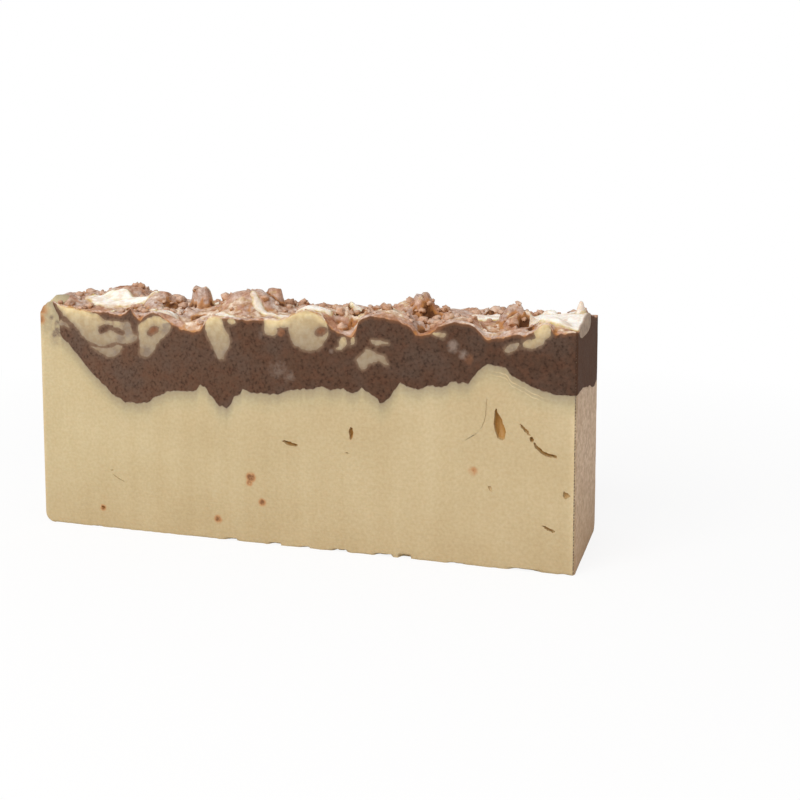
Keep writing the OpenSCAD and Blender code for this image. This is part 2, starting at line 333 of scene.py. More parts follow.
def blockRing(z):
    # the block's outline at one height, from the front's moulded edge round to it again
    foot, corner = loafShape["footRadius"], loafShape["cornerRadius"]
    edge, saw = loafShape["frontEdgeRadius"], loafShape["sawEdge"]
    length, width = loafLength, loafWidth
    inset = foot - math.sqrt(max(foot ** 2 - max(foot - z, 0) ** 2, 0))
    frontX = np.linspace(foot + edge, length - saw, int(length / loafShape["columnStep"]))
    frontX = frontX - (foot - inset) * np.clip((foot + edge + 4 - frontX) / 4, 0, 1)
    front = np.column_stack([frontX, frontInset(frontX, z)])
    sawn = [[length - 0.6 * saw, 1.0], [length - 0.15 * saw, 1.8]]
    endY = np.linspace(2.6, width - inset, loafShape["endPoints"])
    torn = loafShape["sawWaves"] * (1 + uneven(endY / 4, 0 * endY + z / 4, 44)) * ease((endY - 2) / 4)
    end = np.column_stack([length - torn, endY])
    backX = np.linspace(length - 1, corner, loafShape["backPoints"])
    back = np.column_stack([backX, np.full(len(backX), width - inset)])
    turn = np.radians(np.linspace(90, 180, 10)[1:])
    bend = np.column_stack([corner + (corner - inset) * np.cos(turn),
                            width - corner + (corner - inset) * np.sin(turn)])
    leftY = np.linspace(width - corner, edge, loafShape["mouldedEndPoints"])[1:]
    left = np.column_stack([np.full(len(leftY), inset), leftY])
    turn = np.radians(np.linspace(180, 270, 7)[1:-1])
    softEdge = np.column_stack([inset + edge + edge * np.cos(turn), edge + edge * np.sin(turn)])
    outline = np.concatenate([front, sawn, end, back, bend, left, softEdge])
    return np.column_stack([outline, np.full(len(outline), z)])


footRows = [0, 0.12, 0.35, 0.7, 1.1, 1.6, 2.2, 3, 4, 6, 8.5]
plainRows = np.arange(11, 45, 3)
fineRows = np.arange(45, loafShape["blockTop"], loafShape["rowStep"])
block = ringSolid("block", [blockRing(z) for z in [*footRows, *plainRows, *fineRows]])
print("block:", len(block.data.polygons), "faces")


# The pour line, where the brown sank into the cream

# on the sawn front: distance from the moulded end, height above baseHeight
pourLine = np.array([
    [0, 42], [6.4, 40], [7, 33], [8.4, 30.2], [9.8, 28], [10.1, 21], [11, 19], [13, 17.6], [15, 16],
    [17, 13.4], [20, 10.4], [23, 7], [26, 4], [30, 0.6], [35, -3.5], [40, -6], [45, -6.3], [50, -6],
    [53, -4], [56, -2.4], [58.2, -1.9], [59, -0.9], [61, -0.5], [66, -0.3], [71, 0], [72.6, 0.5],
    [73.6, 2], [75, 2.8], [77, 1.6], [78.2, -0.6], [80.5, -2.6], [82, -4.6], [83, -5.5], [84.4, -5.2],
    [86, -5.8], [87.8, -4.4], [89, -1.2], [92, 0], [93, 1.8], [94.6, 1.7], [98, 0.5], [101, 1],
    [105, 0.8], [109, 1], [112, 2.4], [116, 3.3], [121, 3.8], [124, 4.2], [126.5, 5.1], [129, 4],
    [132, 4.2], [135.5, 4.9], [136.5, 3.5], [139, 3.2], [141, 3.8], [143, 5.3], [145, 4], [148, 2.5],
    [149.4, 1.5], [150, -0.2], [152, 0.3], [153, 1.4], [154.5, 3], [156.5, 6], [158.3, 8.4], [160, 7.2],
    [163, 6.7], [166, 5.9], [168, 7], [170, 7.7], [174, 7.4], [176.5, 8], [178, 9.5], [180, 10],
    [181.3, 9.2], [182.5, 10], [184.7, 9.4], [186, 11], [188.5, 14], [190.5, 16], [193, 17.2],
    [196, 16.4], [199, 15.8], [201, 13.5], [204, 11.5], [208, 9.7], [213, 8], [218, 6.8], [226, 7],
])
pourWave = {
    "buried": ((4, 17), (2, 7)),  # behind the front, height and size of each layer of waves
    "backHeight": 3,  # of the line at the back, above baseHeight
    "ragged": 0.3,
    "raggedGap": 1.4,
}


def pourHeight(x, y):
    buried = layered(x, y, 3, pourWave["buried"])
    t = ease(y / loafWidth)
    line = np.interp(x, pourLine[:, 0], pourLine[:, 1])
    u, v = x / pourWave["raggedGap"], y / pourWave["raggedGap"]
    ragged = pourWave["ragged"] * (uneven(u, v, 61) + 0.6 * uneven(2.3 * u, v, 62))
    smooth = mix(line, pourWave["backHeight"] + buried, t) + 2 * buried * t * (1 - t)
    return loafShape["baseHeight"] + smooth + ragged


pourXs = np.arange(-3, loafLength + 3.3, 0.6)
pourYs = np.concatenate([[-3, 0, 0.5, 1.5, 3], np.arange(5, loafWidth + 4, 2.8)])
gridX, gridY = np.meshgrid(pourXs, pourYs)
underPour = underSheet("underPour", pourXs, pourYs,
                       pourHeight(np.clip(gridX, 0, loafLength), np.clip(gridY, 0, None)))


# The cream that was drizzled on the top, seen from above

drizzles = {
    "patches": [
        [[9, 20], [14, 15], [20, 12], [28, 15], [34, 17], [41, 20], [44, 24], [38, 28], [31, 26], [25, 28],
         [17, 27], [12, 25]],
        [[75.6, 8], [77.6, 3.2], [84.4, 3.2], [88, 4.6], [87, 7], [83, 9.4], [79.6, 12.6], [77, 12.4]],
        [[87, 19.6], [90, 16], [95, 13.4], [101, 10.4], [106, 6.6], [112, 5.8], [112.6, 8.6], [108, 11.4],
         [103, 14], [97, 16.6], [91.6, 19.4], [88.4, 21.6]],
        [[112, 9], [114, 3.2], [128, 3.2], [130, 8], [127, 14], [124, 20], [116, 18]],
        [[204, 20], [206, 10], [211, 5], [217, 3.6], [226, 5], [238, 6], [238, 33], [226, 35], [214, 40],
         [204, 32]],
        [[50, 7], [53, 3.4], [58, 3.2], [63, 6.5], [61, 10], [55, 11]],
        [[140, 44], [146, 38], [153, 40], [160, 47], [158, 53], [147, 52]],
        [[178, 24], [184, 19], [190, 22], [196, 20], [199, 26], [190, 31], [183, 33]],
        [[56, 44], [62, 40], [70, 43], [74, 49], [66, 53], [58, 51]],
    ],
    "wobble": (0.7, 3.1),  # of their outlines: how far, and in waves of what size
    "drops": 26,  # small drips beside them
    "dropSize": (1.2, 3.2),
    "dropCorners": 12,
    "dropWobble": (0.3, 1.7),
    "clearance": 1.2,
    "seed": 12,
    "floor": 86.4,  # height that the drizzle reaches down to
    "lip": 0.5,  # how far it stands up on the brown
    "lipWidth": 1.3,
    "smoothed": 1.5,  # width of its edge over which the crumbs under it grow calm
}


def drizzleOutlines():
    # the patches, and drops at random wherever there is room
    outlines = [wobbly(p, *drizzles["wobble"], 70 + 3 * k) for k, p in enumerate(drizzles["patches"])]
    corners = drizzles["dropCorners"]
    chance = np.random.default_rng(drizzles["seed"])
    while len(outlines) < len(drizzles["patches"]) + drizzles["drops"]:
        x, y = chance.uniform(8, loafLength - 8), chance.uniform(8, loafWidth - 5)
        size = chance.uniform(*drizzles["dropSize"])
        clear = max(insideBy(np.array([x]), np.array([y]), o)[0] for o in outlines)
        if clear > -size - drizzles["clearance"]:
            continue
        turn = np.linspace(0, 2 * math.pi, corners, endpoint=False)
        reach = size * chance.uniform(0.6, 1.25, corners)
        stretch = chance.uniform(0.7, 1.9)
        shape = np.column_stack([x + reach * stretch * np.cos(turn), y + reach * np.sin(turn)])
        outlines.append(wobbly(shape, *drizzles["dropWobble"], 130))
    return outlines


topDrizzles = drizzleOutlines()


def drizzledBy(x, y):
    # how far inside the drizzle each point of the top lies
    inside = np.full(x.shape, -1e9)
    for outline in topDrizzles:
        near = nearTo(x, y, outline, 6)
        inside[near] = np.maximum(inside[near], insideBy(x[near], y[near], outline))
    return np.maximum(inside, -6)


# The broken top

# heights of layers of unevenness come with their sizes
brokenTop = {
    "crestWidth": 5,  # strip behind the sawn front in which the crest settles to the top
    "sink": 1,
    "ridgeY": 30,
    "backDrop": 4,
    "shifts": ((1.3, 6), (0.4, 2.2)),  # sideways, of the lumps, caves and crumbs
    "folds": ((0.8, 13), (0.48, 5)),
    "steepness": 1.25,  # of the lumps and hollows
    "crestRagged": ((0.3, 1.1), (0.21, 2.7)),
    "grain": ((0.16, 0.9), (0.16, 1.9)),
    "crumbHeight": 2.4,
    "crumbGap": 6.1,
    "smallCrumbs": ((0.8, 3.1), (0.4, 1.6)),  # on the large ones
    "onCrust": 0.12,  # share of the small crumbs that a smooth crust has
    "onCream": 0.4,  # share of all crumbs that the drizzled cream has
    "onCrest": 0.3,  # share of all crumbs that the crest has
    "edgeRadius": 0.4,
    "step": 0.62,
}

# crest of the sawn front: distance from the moulded end, height above loafHeight
crestLine = np.array([
    [0, -1.5], [1, 0.5], [2, 2], [4, 3.8], [7, 4.4], [10, 3], [14, 2.6], [18, 2], [20, 1.8], [24, 1],
    [29, 1], [33, 0.8], [37, 0], [39, -0.3], [41, 1], [43.5, 3], [45, 0.6], [46.5, -1], [48, -1.6],
    [50, 0.2], [53, 2], [56, 1.2], [58, 0], [60, -1.6], [63, -2.8], [66, -4.1], [69, -5], [72, -5.6],
    [75, -4.4], [77, -2], [78.5, 0.6], [81, 1.2], [84, 0.4], [88, 0.8], [92, 0.5], [96, 0.2],
    [100, 0.3], [103, 0.6], [110, 1], [113, 2], [116, 4], [120, 4.8], [124, 4], [127, 2.3],
    [129, 0.3], [131, -1.8], [134, -3.6], [137, -4.5], [140, -4.6], [140.8, -1.8], [141.4, 1.2],
    [143, 2.6], [146, 3.7], [150, 3.6], [154, 2.8], [158, 2], [161, 0.8], [163, -0.4], [164, -2.6],
    [166, -3.3], [168, -2.6], [170, -1.8], [173, 0.5], [176, 2], [180, 2.6], [184, 2.4], [187, 1],
    [189, -0.6], [190.5, -2.4], [193, -3.3], [196, -2.6], [200, -1.6], [204, -1], [206, -1.6],
    [209, 0], [212, 2.4], [214.5, 3], [215.6, 1.8], [216.6, -0.8], [219, 0], [222, 0.5], [226, 0.4],
])

# the ridge behind it, in the same way
ridgeLine = np.array([
    [0, 3.5], [9, 4.2], [20, 4.5], [30, 4], [40, 3.5], [50, 2.2], [60, 1], [67, 1], [75, 3],
    [86, 3.2], [96, 1.8], [103, 1], [114, 0.4], [122, 0.8], [130, 0.6], [137, 0.8], [146, 2.5],
    [154, 3], [161, 2.6], [168, 2.2], [176, 2.6], [183, 1.8], [190, 1.4], [200, 2.4], [211, 2],
    [220, 2.8], [225, 3],
])

# distance from the moulded end, distance from the front, half length, half width, height, and
# for a boulder its steepness
lumps = [
    (3, 17, 11, 15, 5.4), (22, 33, 16, 18, 7.9), (44, 24, 10, 13, 6.2),
    (61.5, 27, 5.2, 6, 8.4, 1.9), (85, 24, 17, 19, 8.3), (93.4, 32, 5.4, 6, 8.8, 1.9),
    (121, 7, 13, 11, 4.6), (132.5, 16, 9, 10, 4.8), (149, 9, 15, 14, 4.6), (154, 24, 10, 12, 6),
    (159, 26, 8, 9, 8.9, 1.5), (179, 8, 12, 12, 3.2), (199, 21, 8.5, 8.5, 6), (209, 34, 6, 7, 3.4),
    (213, 8, 9, 10, 3.4), (222.2, 30, 2.7, 4.2, 7.4), (20, 49, 11, 10, 5), (72, 47, 10, 9, 4.5),
    (149, 43, 8, 10, 4),
]
hollows = [
    (66, 9, 10, 10, 4), (112, 24, 9, 9, 1.2), (136, 6, 7, 7, 3.5), (166.5, 7, 5.5, 7, 5),
    (193, 9, 10, 9, 2.4), (204, 15, 6, 5, 3), (52, 19, 6, 6, 2), (183, 33, 9, 6, 1.2),
]
# places where the top is broken to crumbs, in the same order without a height
crumbles = [
    (54, 21, 10, 11), (132, 17, 10, 10), (163, 17, 10, 14), (200, 19, 10, 9), (214, 42, 12, 10),
    (30, 44, 14, 11), (182, 42, 11, 9), (98, 45, 14, 9), (140, 42, 9, 10), (74, 46, 10, 8),
    (9, 30, 8, 14), (113, 24, 10, 8),
]
# places where the crust is streaked with cream, in the same order without a height
paleStreaks = [
    (28, 18, 22, 9), (56, 9, 11, 8), (71, 16, 11, 10), (88, 11, 12, 11), (103, 16, 16, 8),
    (126, 12, 12, 7), (135, 8, 9, 8), (150, 10, 9, 7), (72, 3, 8, 5), (180, 12, 12, 9),
    (194, 14, 9, 8), (212, 16, 14, 14), (110, 44, 26, 9), (40, 50, 18, 6), (170, 50, 26, 6),
]
# small caves between the lumps, dark with painted shade, in the same order with depths
caves = [
    (166.5, 6, 4.4, 4.2, 3), (136, 15, 3.5, 4, 2.5), (67, 13, 5, 2.2, 1.6), (13, 5, 2.4, 1.4, 1.8),
    (204, 15, 5, 4, 3), (165, 19, 5.5, 5, 4), (99.5, 34, 5, 2, 1.5), (38, 13, 7, 2, 2),
    (206.5, 4.4, 1.8, 1.6, 1.8), (52, 20, 5, 3.4, 2.2), (183, 36, 6, 3.4, 2), (24, 46, 4, 3.4, 2),
    (101, 12, 2.2, 1.6, 1.2),
]


def within(x, y, spot):
    # 0 at the rim of a lump, hollow or crumbly place, 1 in its middle
    return np.maximum(0, 1 - np.hypot((x - spot[0]) / spot[2], (y - spot[1]) / spot[3]))


def amid(x, y, spots):
    # the same for the nearest of several
    return np.max([within(x, y, spot) for spot in spots], axis=0)


def heaped(x, y, spots):
    # how high several lumps stand, or how deep hollows go; steeper sides have a flatter top
    heights = []
    for spot in spots:
        steepness = spot[5] if len(spot) > 5 else brokenTop["steepness"]
        heights.append(spot[4] * ease(steepness * within(x, y, spot)))
    return np.max(heights, axis=0)


def crumbly(x, y):
    # 1 where the top is broken to crumbs, 0 where it set as a smooth crust
    return ease(3 * amid(x, y, crumbles))


def topHeight(x, y):
    shape = brokenTop
    wx = x + layered(x, y, 11, shape["shifts"])
    wy = y + layered(x, y, 13, shape["shifts"])

    # the crest of the sawn front, and behind it folds, the ridge, lumps and hollows
    ridgeY = shape["ridgeY"]
    rise = mix(-shape["sink"], np.interp(x, ridgeLine[:, 0], ridgeLine[:, 1]), ease(y / ridgeY))
    fall = shape["backDrop"] * ease((y - ridgeY) / (loafWidth - ridgeY))
    inner = np.maximum(rise - fall, heaped(wx, wy, lumps)) - heaped(x, y, hollows)
    inner += layered(x, y, 1, shape["folds"])
    crest = np.interp(x, crestLine[:, 0], crestLine[:, 1]) + layered(x, y, 83, shape["crestRagged"])
    height = loafHeight + mix(crest, inner, ease(y / shape["crestWidth"]))

    # crumbs and grain, calmer on the crust, on the drizzled cream and along the crest
    inside = drizzledBy(x, y)
    cream = ease(inside / drizzles["smoothed"])
    broken = crumbly(x, y) * shape["crumbHeight"] * (chunks(wx, wy, shape["crumbGap"], 51) - 0.4)
    for k, (high, gap) in enumerate(shape["smallCrumbs"]):
        broken += mix(shape["onCrust"], 1, crumbly(x, y)) * high * (chunks(wx, wy, gap, 58 + 7 * k) - 0.42)
    broken *= mix(1, shape["onCream"], cream) * mix(shape["onCrest"], 1, ease(y / 2))
    grain = layered(x, y, 81, shape["grain"]) * (1 - 0.8 * cream)

    lip = drizzles["lip"] * ease(inside / drizzles["lipWidth"])
    corner = shape["edgeRadius"] * np.clip(1 - np.maximum(y, 0) / shape["edgeRadius"], 0, 1) ** 2
    return np.minimum(height + broken + grain - heaped(wx, wy, caves) + lip - corner, tallest)


topXs = np.arange(-3, loafLength + 3.5, brokenTop["step"])
topYs = np.arange(-2.48, loafWidth + 3, brokenTop["step"])
gridX, gridY = np.meshgrid(topXs, topYs)
topGrid = topHeight(np.clip(gridX, 0, loafLength), np.clip(gridY, 0, loafWidth))
underTop = underSheet("underTop", topXs, topYs, topGrid)
print("top:", topGrid.size, "points, up to", round(float(topGrid.max()), 2), "mm")


def softened(grid, reach):
    # the grid with everything smaller than reach smoothed away
    steps = max(1, int(reach / brokenTop["step"]))
    for _ in range(3):
        for axis in (0, 1):
            padded = np.pad(grid, [(steps, steps) if a == axis else (0, 0) for a in (0, 1)], mode="edge")
            total = np.cumsum(np.insert(padded, 0, 0, axis=axis), axis=axis)
            size = 2 * steps + 1
            grid = (np.take(total, range(size, total.shape[axis]), axis=axis)
                    - np.take(total, range(0, total.shape[axis] - size), axis=axis)) / size
    return grid


def readGrid(grid, x, y):
    # the grid's value at any place, worked out between its points
    u = np.clip((x - topXs[0]) / brokenTop["step"], 0, len(topXs) - 1.001)
    v = np.clip((y - topYs[0]) / brokenTop["step"], 0, len(topYs) - 1.001)
    i, j = u.astype(int), v.astype(int)
    low = mix(grid[j, i], grid[j, i + 1], u - i)
    high = mix(grid[j + 1, i], grid[j + 1, i + 1], u - i)
    return mix(low, high, v - j)


creviceGrid = softened(topGrid, 1.0) - topGrid


# The cream swirls on the sawn front: distance from the moulded end, height above loafHeight.
# The second outline that some have is a brown eye in the first.

swirls = {
    "depth": 9,
    "eyeDepth": 5.4,
    "wobble": (0.3, 1.5),
    "outlines": [
        [[[7.6, 12], [8, 3.4], [10.6, 0.2], [13, -2.2], [16, -4.4], [19, -7.4], [21.5, -10.6], [25, -12.6],
          [28, -13.4], [31.5, -13.4], [34.5, -12.2], [37, -11.4], [39.5, -12.2], [43, -12], [45.6, -10.6],
          [46.4, -8.6], [44.2, -7.6], [43.6, -5.4], [43.4, -3.4], [39, -3.2], [35, -2.8], [30, -2.6],
          [29.4, -0.6], [26, 0], [22, 1.4], [21, 12]],
         [[27.8, -8.2], [28.6, -5.6], [30.2, -4.4], [34, -4.8], [36, -5.4], [40, -6.2], [41, -8.3],
          [39, -9], [36, -7.4], [33.6, -6.6], [30.6, -8.4]]],
        [[[24, -13.6], [27, -15.2], [30, -16.8], [33, -18.2], [35.5, -17.8], [38, -15.8], [39.6, -12.8],
          [36.5, -12.7], [33.5, -14.3], [29, -14.6], [26, -13.9]]],
        [[[46.8, -3.8], [49.5, -2.4], [53.5, 0], [58, -0.6], [61.8, -3.6], [61.6, -6], [58, -8.6],
          [55.4, -11.4], [53.4, -14.6], [51.4, -17.2], [49, -16.6], [47.4, -16.9], [47.6, -13], [46.9, -9]],
         [[50.6, -7.8], [51.4, -5.6], [53.6, -4.4], [56.8, -4.3], [56.2, -6.6], [54, -8.2], [51.4, -8.7]]],
        [[[77, 12], [76.8, -2], [77.2, -5], [79.2, -10], [81, -13.8], [83, -16.8], [85.4, -16.4],
          [84.6, -14.6], [86.6, -13], [88, -10], [87.4, -6.6], [85.6, -4.6], [84.4, -1.4], [84, 2],
          [84.6, 12]]],
        [[[102.3, 12], [102.4, -2], [102.6, -5.8], [106, -6.4], [108.2, -5], [107.8, -2.8], [111.4, -2.6],
          [114.6, -3], [119, 3], [119.4, 12]]],
        [[[121 + 8.3 * math.cos(a), -3.2 + 8.2 * math.sin(a)] for a in np.linspace(0, 6.283, 17)[:-1]],
         [[123.4, -4.6], [124.6, -2.6], [127, -1.6], [129, -1.9], [129.2, -3.6], [127.4, -5.4],
          [124.6, -5.7]]],
        [[[132, -10.3], [133.8, -8.6], [134, -6.4], [136, -5.2], [137.2, -7], [136.6, -9], [134.5, -10.2]]],
        [[[138.3, -8.2], [138.5, -5.4], [140.1, -5], [140, -7.2], [139, -8.6]]],
        [[[146, -6], [149, -6.2], [153.4, -6.4], [153.6, -7.6], [150.6, -7.6], [149, -8.3], [147.4, -7.2]]],
        [[[140.8, -14.3], [141, -13], [143, -12], [144.5, -9.2], [146.5, -10], [149, -11], [151.6, -12],
          [152.4, -13.5], [153.8, -15.6], [152, -15], [150, -13.9], [148, -14.3], [145.5, -15],
          [144.8, -17], [143, -17.6], [141.8, -16]]],
        [[[171, -2.4], [173, -2.1], [176, -2.2], [175.6, -3.8], [173, -3.9], [171.4, -3.2]]],
        [[[198.4, -8], [199, -6.3], [201, -5.3], [204, -4.3], [203.6, -6.3], [201.4, -7.8], [199.5, -8.8]]],
        [[[204.8, -4.8], [206, -6.4], [209, -6.8], [212, -5], [214.2, -2.5], [215.6, 0], [216, 12],
          [211.6, 12], [209.6, 1], [209.2, -1], [210, -2], [209, -3.2], [206.4, -3.4]]],
        [[[87, -0.7], [88, 0.5], [90, -0.2], [89.8, -1.8], [88.5, -2.5], [87.2, -1.8]]],
        [[[10, -3.2], [12.2, -4.4], [15, -6], [14.4, -6.7], [11.6, -5.8], [9.6, -5.4]]],
    ],
}
swirlOutlines = [[wobbly(part, *swirls["wobble"], 90 + 2 * k) + [0, loafHeight] for part in parts]
                 for k, parts in enumerate(swirls["outlines"])]


def swirledBy(x, z):
    # how far inside the cream swirls each point of the sawn front lies
    inside = np.full(x.shape, farOutside)
    for parts in swirlOutlines:
        near = nearTo(x, z, parts[0], 5)
        own = insideBy(x[near], z[near], parts[0])
        if len(parts) > 1:
            own = np.minimum(own, -insideBy(x[near], z[near], parts[1]))
        inside[near] = np.maximum(inside[near], own)
    return inside


def swirlBodies():
    # every swirl, with its eye cut from it, and every drizzle
    for parts in swirlOutlines:
        swirl = frontSolid("swirl", parts[0], swirls["depth"])
        for eyeOutline in parts[1:]:
            eye = frontSolid("eye", eyeOutline, swirls["eyeDepth"], 3)
            combine(swirl, eye, "DIFFERENCE")
            discard(eye)
        yield swirl
    for outline in topDrizzles:
        yield sunkenSolid("drizzle", outline, drizzles["floor"], loafShape["blockTop"])


# Air bubbles, slits and pinholes that the saw opened: outline as distance from the moulded
# end and height, with depth

bubbles = [
    ([[195.4, 61], [194.5, 58], [194.6, 54], [195.4, 50], [197.2, 48.4], [199, 49.6], [199, 53],
      [197.6, 56.5], [196.2, 59]], 3),
    ([[203.8, 55.6], [205.3, 54.9], [206.7, 53.8], [207.9, 52.3], [208.6, 51], [207.6, 51.2],
      [206.3, 52.5], [204.9, 54]], 1.5),
    ([[207.9, 51], [209.2, 50.8], [209.7, 49.7], [209.1, 48.5], [208, 49.2]], 1.8),
    ([[209.3, 49.1], [210.7, 47.9], [212, 46.7], [213.4, 45.8], [215, 45.1], [216.6, 44.7], [218.3, 44.6],
      [218.4, 43.4], [216.8, 43.5], [215, 43.6], [213.3, 44.2], [211.8, 45.1], [210.5, 46.4],
      [209.4, 47.9]], 2.2),
    ([[109.2, 42.4], [112, 42.7], [114.6, 41.8], [116.6, 41], [115, 40.2], [112, 40.7]], 2.2),
    ([[137.7, 50], [139, 49.9], [139.5, 47.6], [139.2, 45.6], [138.3, 44.2], [137.4, 46.4]], 2.1),
    ([[27.6, 8.4], [28.3, 9.2], [29.5, 8.8], [29.6, 8], [28.6, 7.7]], 1.6),
    ([[32.4, 24.8], [33.8, 25], [33.9, 24.5], [32.6, 24.3]], 0.5),
    ([[33, 23], [33.4, 23.3], [36.6, 21.3], [39.4, 20.1], [39.2, 19.8], [36.2, 21]], 0.5),
    ([[212.2, 18], [214.6, 17.7], [218, 16.4], [217.6, 15.3], [214.8, 16.3]], 1.6),
    ([[220.5, 31.4], [221.4, 31.2], [223.4, 30.3], [222.8, 29.2], [221.2, 28.4], [220.5, 29.4]], 1.4),
    ([[192.2, 64.6], [191.9, 57], [189.5, 51.7], [183.5, 47.9], [183.5, 47.5], [189.1, 51.1],
      [191.3, 56.8], [191.7, 64.4]], 0.45),
    ([[136, 39.8], [137.2, 39.7], [137.6, 39.1], [136.4, 39.2]], 0.6),
    ([[192.1, 30.8], [193.4, 31.3], [194.4, 30], [193.7, 28.5], [193, 29.8]], 0.7),
]


def bubbleBodies():
    for k, (points, depth) in enumerate(bubbles):
        outline = wobbly(points, min(0.2 * depth, 0.22), 0.9, 150 + 2 * k)
        yield frontSolid("bubble", outline, depth, 1.0)


# Cut the three soaps out of the block

combine(block, underTop, "INTERSECT")
creamBase = addObject("creamBase", block.data.copy())
combine(creamBase, underPour, "INTERSECT")
opened = joined(bubbleBodies())
combine(creamBase, opened, "DIFFERENCE")
combine(block, underPour, "DIFFERENCE")
inlay = joined(swirlBodies())
creamSwirls = addObject("creamSwirls", block.data.copy())
combine(creamSwirls, inlay, "INTERSECT")
brownTop = addObject("brownTop", block.data.copy())
combine(brownTop, inlay, "DIFFERENCE")
discard(block, underTop, underPour, opened, inlay)
for piece in (creamBase, brownTop, creamSwirls):
    print(piece.name, len(piece.data.polygons), "faces")


def dress(piece, nodeName):
    # surface values for the materials, smooth shading, and the piece's place in the frame
    x, y, z = placesOf(piece)
    normals = np.zeros(len(x) * 3)
    piece.data.vertices.foreach_get("normal", normals)
    onFront = y < 0.5
    insideSwirl = np.full(x.shape, farOutside)
    insideSwirl[onFront] = swirledBy(x[onFront], z[onFront])
    values = {
        "belowTop": readGrid(topGrid, x, y) - z,
        "abovePour": z - pourHeight(x, y),
        "crevice": readGrid(creviceGrid, x, y),
        # a little further back, so that the painted shade of each cave lies on its far wall
        "inCave": ease(2.2 * amid(x, y - 1.5, caves)),
        "upwards": normals[2::3],
        "streaked": ease(2 * amid(x, y, paleStreaks)),
        "insideSwirl": insideSwirl,
        "insideDrizzle": np.where(y > 0.5, drizzledBy(x, y), -6),
        "inFrom": np.where((x < loafLength - 1) & (z > 1), y - frontInset(x, z), 0),
    }
    for name, value in values.items():
        keepValue(piece, name, value)
    piece.data.polygons.foreach_set("use_smooth", [True] * len(piece.data.polygons))
    piece.data.set_sharp_from_angle(angle=math.radians(42))
    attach(piece, "root")
    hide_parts(nodeName)


dress(creamBase, "cream_base")
dress(brownTop, "brown_top")
dress(creamSwirls, "cream_swirls")
print("pieces dressed")


# Loose-edged crumbs that set into the top, and the ragged burr along the sawn edge

crumbs = {
    "places": 330,
    "tries": 4000,
    "onCrust": 0.12,  # chance of one where the crust is smooth
    "middle": 0.25,  # how high its middle stands above the crust, as a share of half its height
    "clearance": 2.6,  # between two crumbs
    "size": (0.7, 2.8),
    "flatness": 0.72,
    "raggedness": 0.25,
    "edge": 3.5,  # they stay this far inside the loaf's edges, and small ones less in front
    "frontEdge": 1.2,
    "seed": 5,
}
burr = {"lowest": 0.95, "pitch": 1.15, "size": (0.42, 0.62), "raggedness": 0.2, "inset": 0.77, "seed": 8}


def seedTree(name, seed):
    # places small ragged bodies on points; the points carry their size
    tree = bpy.data.node_groups.new(name, "GeometryNodeTree")
    for label, kind in (("Geometry", "Geometry"), ("Flatness", "Float"), ("Raggedness", "Float"),
                        ("Material", "Material")):
        tree.interface.new_socket(label, in_out="INPUT", socket_type="NodeSocket" + kind)
    tree.interface.new_socket("Geometry", in_out="OUTPUT", socket_type="NodeSocketGeometry")
    given = addNode(tree, "NodeGroupInput")
    points = addNode(tree, "GeometryNodeMeshToPoints", links={"Mesh": given.outputs["Geometry"]})
    ball = addNode(tree, "GeometryNodeMeshIcoSphere", {"Radius": 1.0, "Subdivisions": 2})
    turn = addNode(tree, "FunctionNodeRandomValue",
                   {"data_type": "FLOAT_VECTOR", 0: (0, 0, 0), 1: (0.5, 0.5, 6.283), "Seed": seed})
    size = addNode(tree, "GeometryNodeInputNamedAttribute", {"data_type": "FLOAT", "Name": "size"})
    flat = addNode(tree, "ShaderNodeCombineXYZ", {"X": 1.0, "Y": 0.85}, {"Z": given.outputs["Flatness"]})
    scale = addNode(tree, "ShaderNodeVectorMath", {"operation": "SCALE"},
                    {0: flat.outputs[0], "Scale": size.outputs["Attribute"]})
    placed = addNode(tree, "GeometryNodeInstanceOnPoints", links={
        "Points": points.outputs[0], "Instance": ball.outputs["Mesh"],
        "Rotation": turn.outputs[0], "Scale": scale.outputs[0]})
    real = addNode(tree, "GeometryNodeRealizeInstances", links={"Geometry": placed.outputs[0]})
    # every corner of every body is pushed about on its own
    push = addNode(tree, "FunctionNodeRandomValue",
                   {"data_type": "FLOAT_VECTOR", 0: (-1, -1, -1), 1: (1, 1, 1), "Seed": seed + 1})
    reach = addNode(tree, "ShaderNodeMath", {"operation": "MULTIPLY"},
                    {0: size.outputs["Attribute"], 1: given.outputs["Raggedness"]})
    offset = addNode(tree, "ShaderNodeVectorMath", {"operation": "SCALE"},
                     {0: push.outputs[0], "Scale": reach.outputs[0]})
    pushed = addNode(tree, "GeometryNodeSetPosition",
                     links={"Geometry": real.outputs[0], "Offset": offset.outputs[0]})
    normal = addNode(tree, "GeometryNodeInputNormal")
    upwards = addNode(tree, "ShaderNodeSeparateXYZ", links={0: normal.outputs[0]})
    stored = addNode(tree, "GeometryNodeStoreNamedAttribute",
                     {"data_type": "FLOAT", "domain": "POINT", "Name": "upwards"},
                     {"Geometry": pushed.outputs[0], "Value": upwards.outputs["Z"]})
    shaded = addNode(tree, "GeometryNodeSetShadeSmooth", links={"Geometry": stored.outputs[0]})
    finished = addNode(tree, "GeometryNodeSetMaterial",
                       links={"Geometry": shaded.outputs[0], "Material": given.outputs["Material"]})
    addNode(tree, "NodeGroupOutput", links={0: finished.outputs[0]})
    return tree


def seededPiece(name, points, sizes, tree, inputs):
    # the tree's bodies on these points, as a plain mesh
    piece = newPiece(name, points, [])
    keepValue(piece, "size", np.asarray(sizes) * mm)
    modifier = piece.modifiers.new("bodies", "NODES")
    modifier.node_group = tree
    for item in tree.interface.items_tree:
        if item.in_out == "INPUT" and item.name in inputs:
            modifier[item.identifier] = inputs[item.name]
    return makePlain(piece)


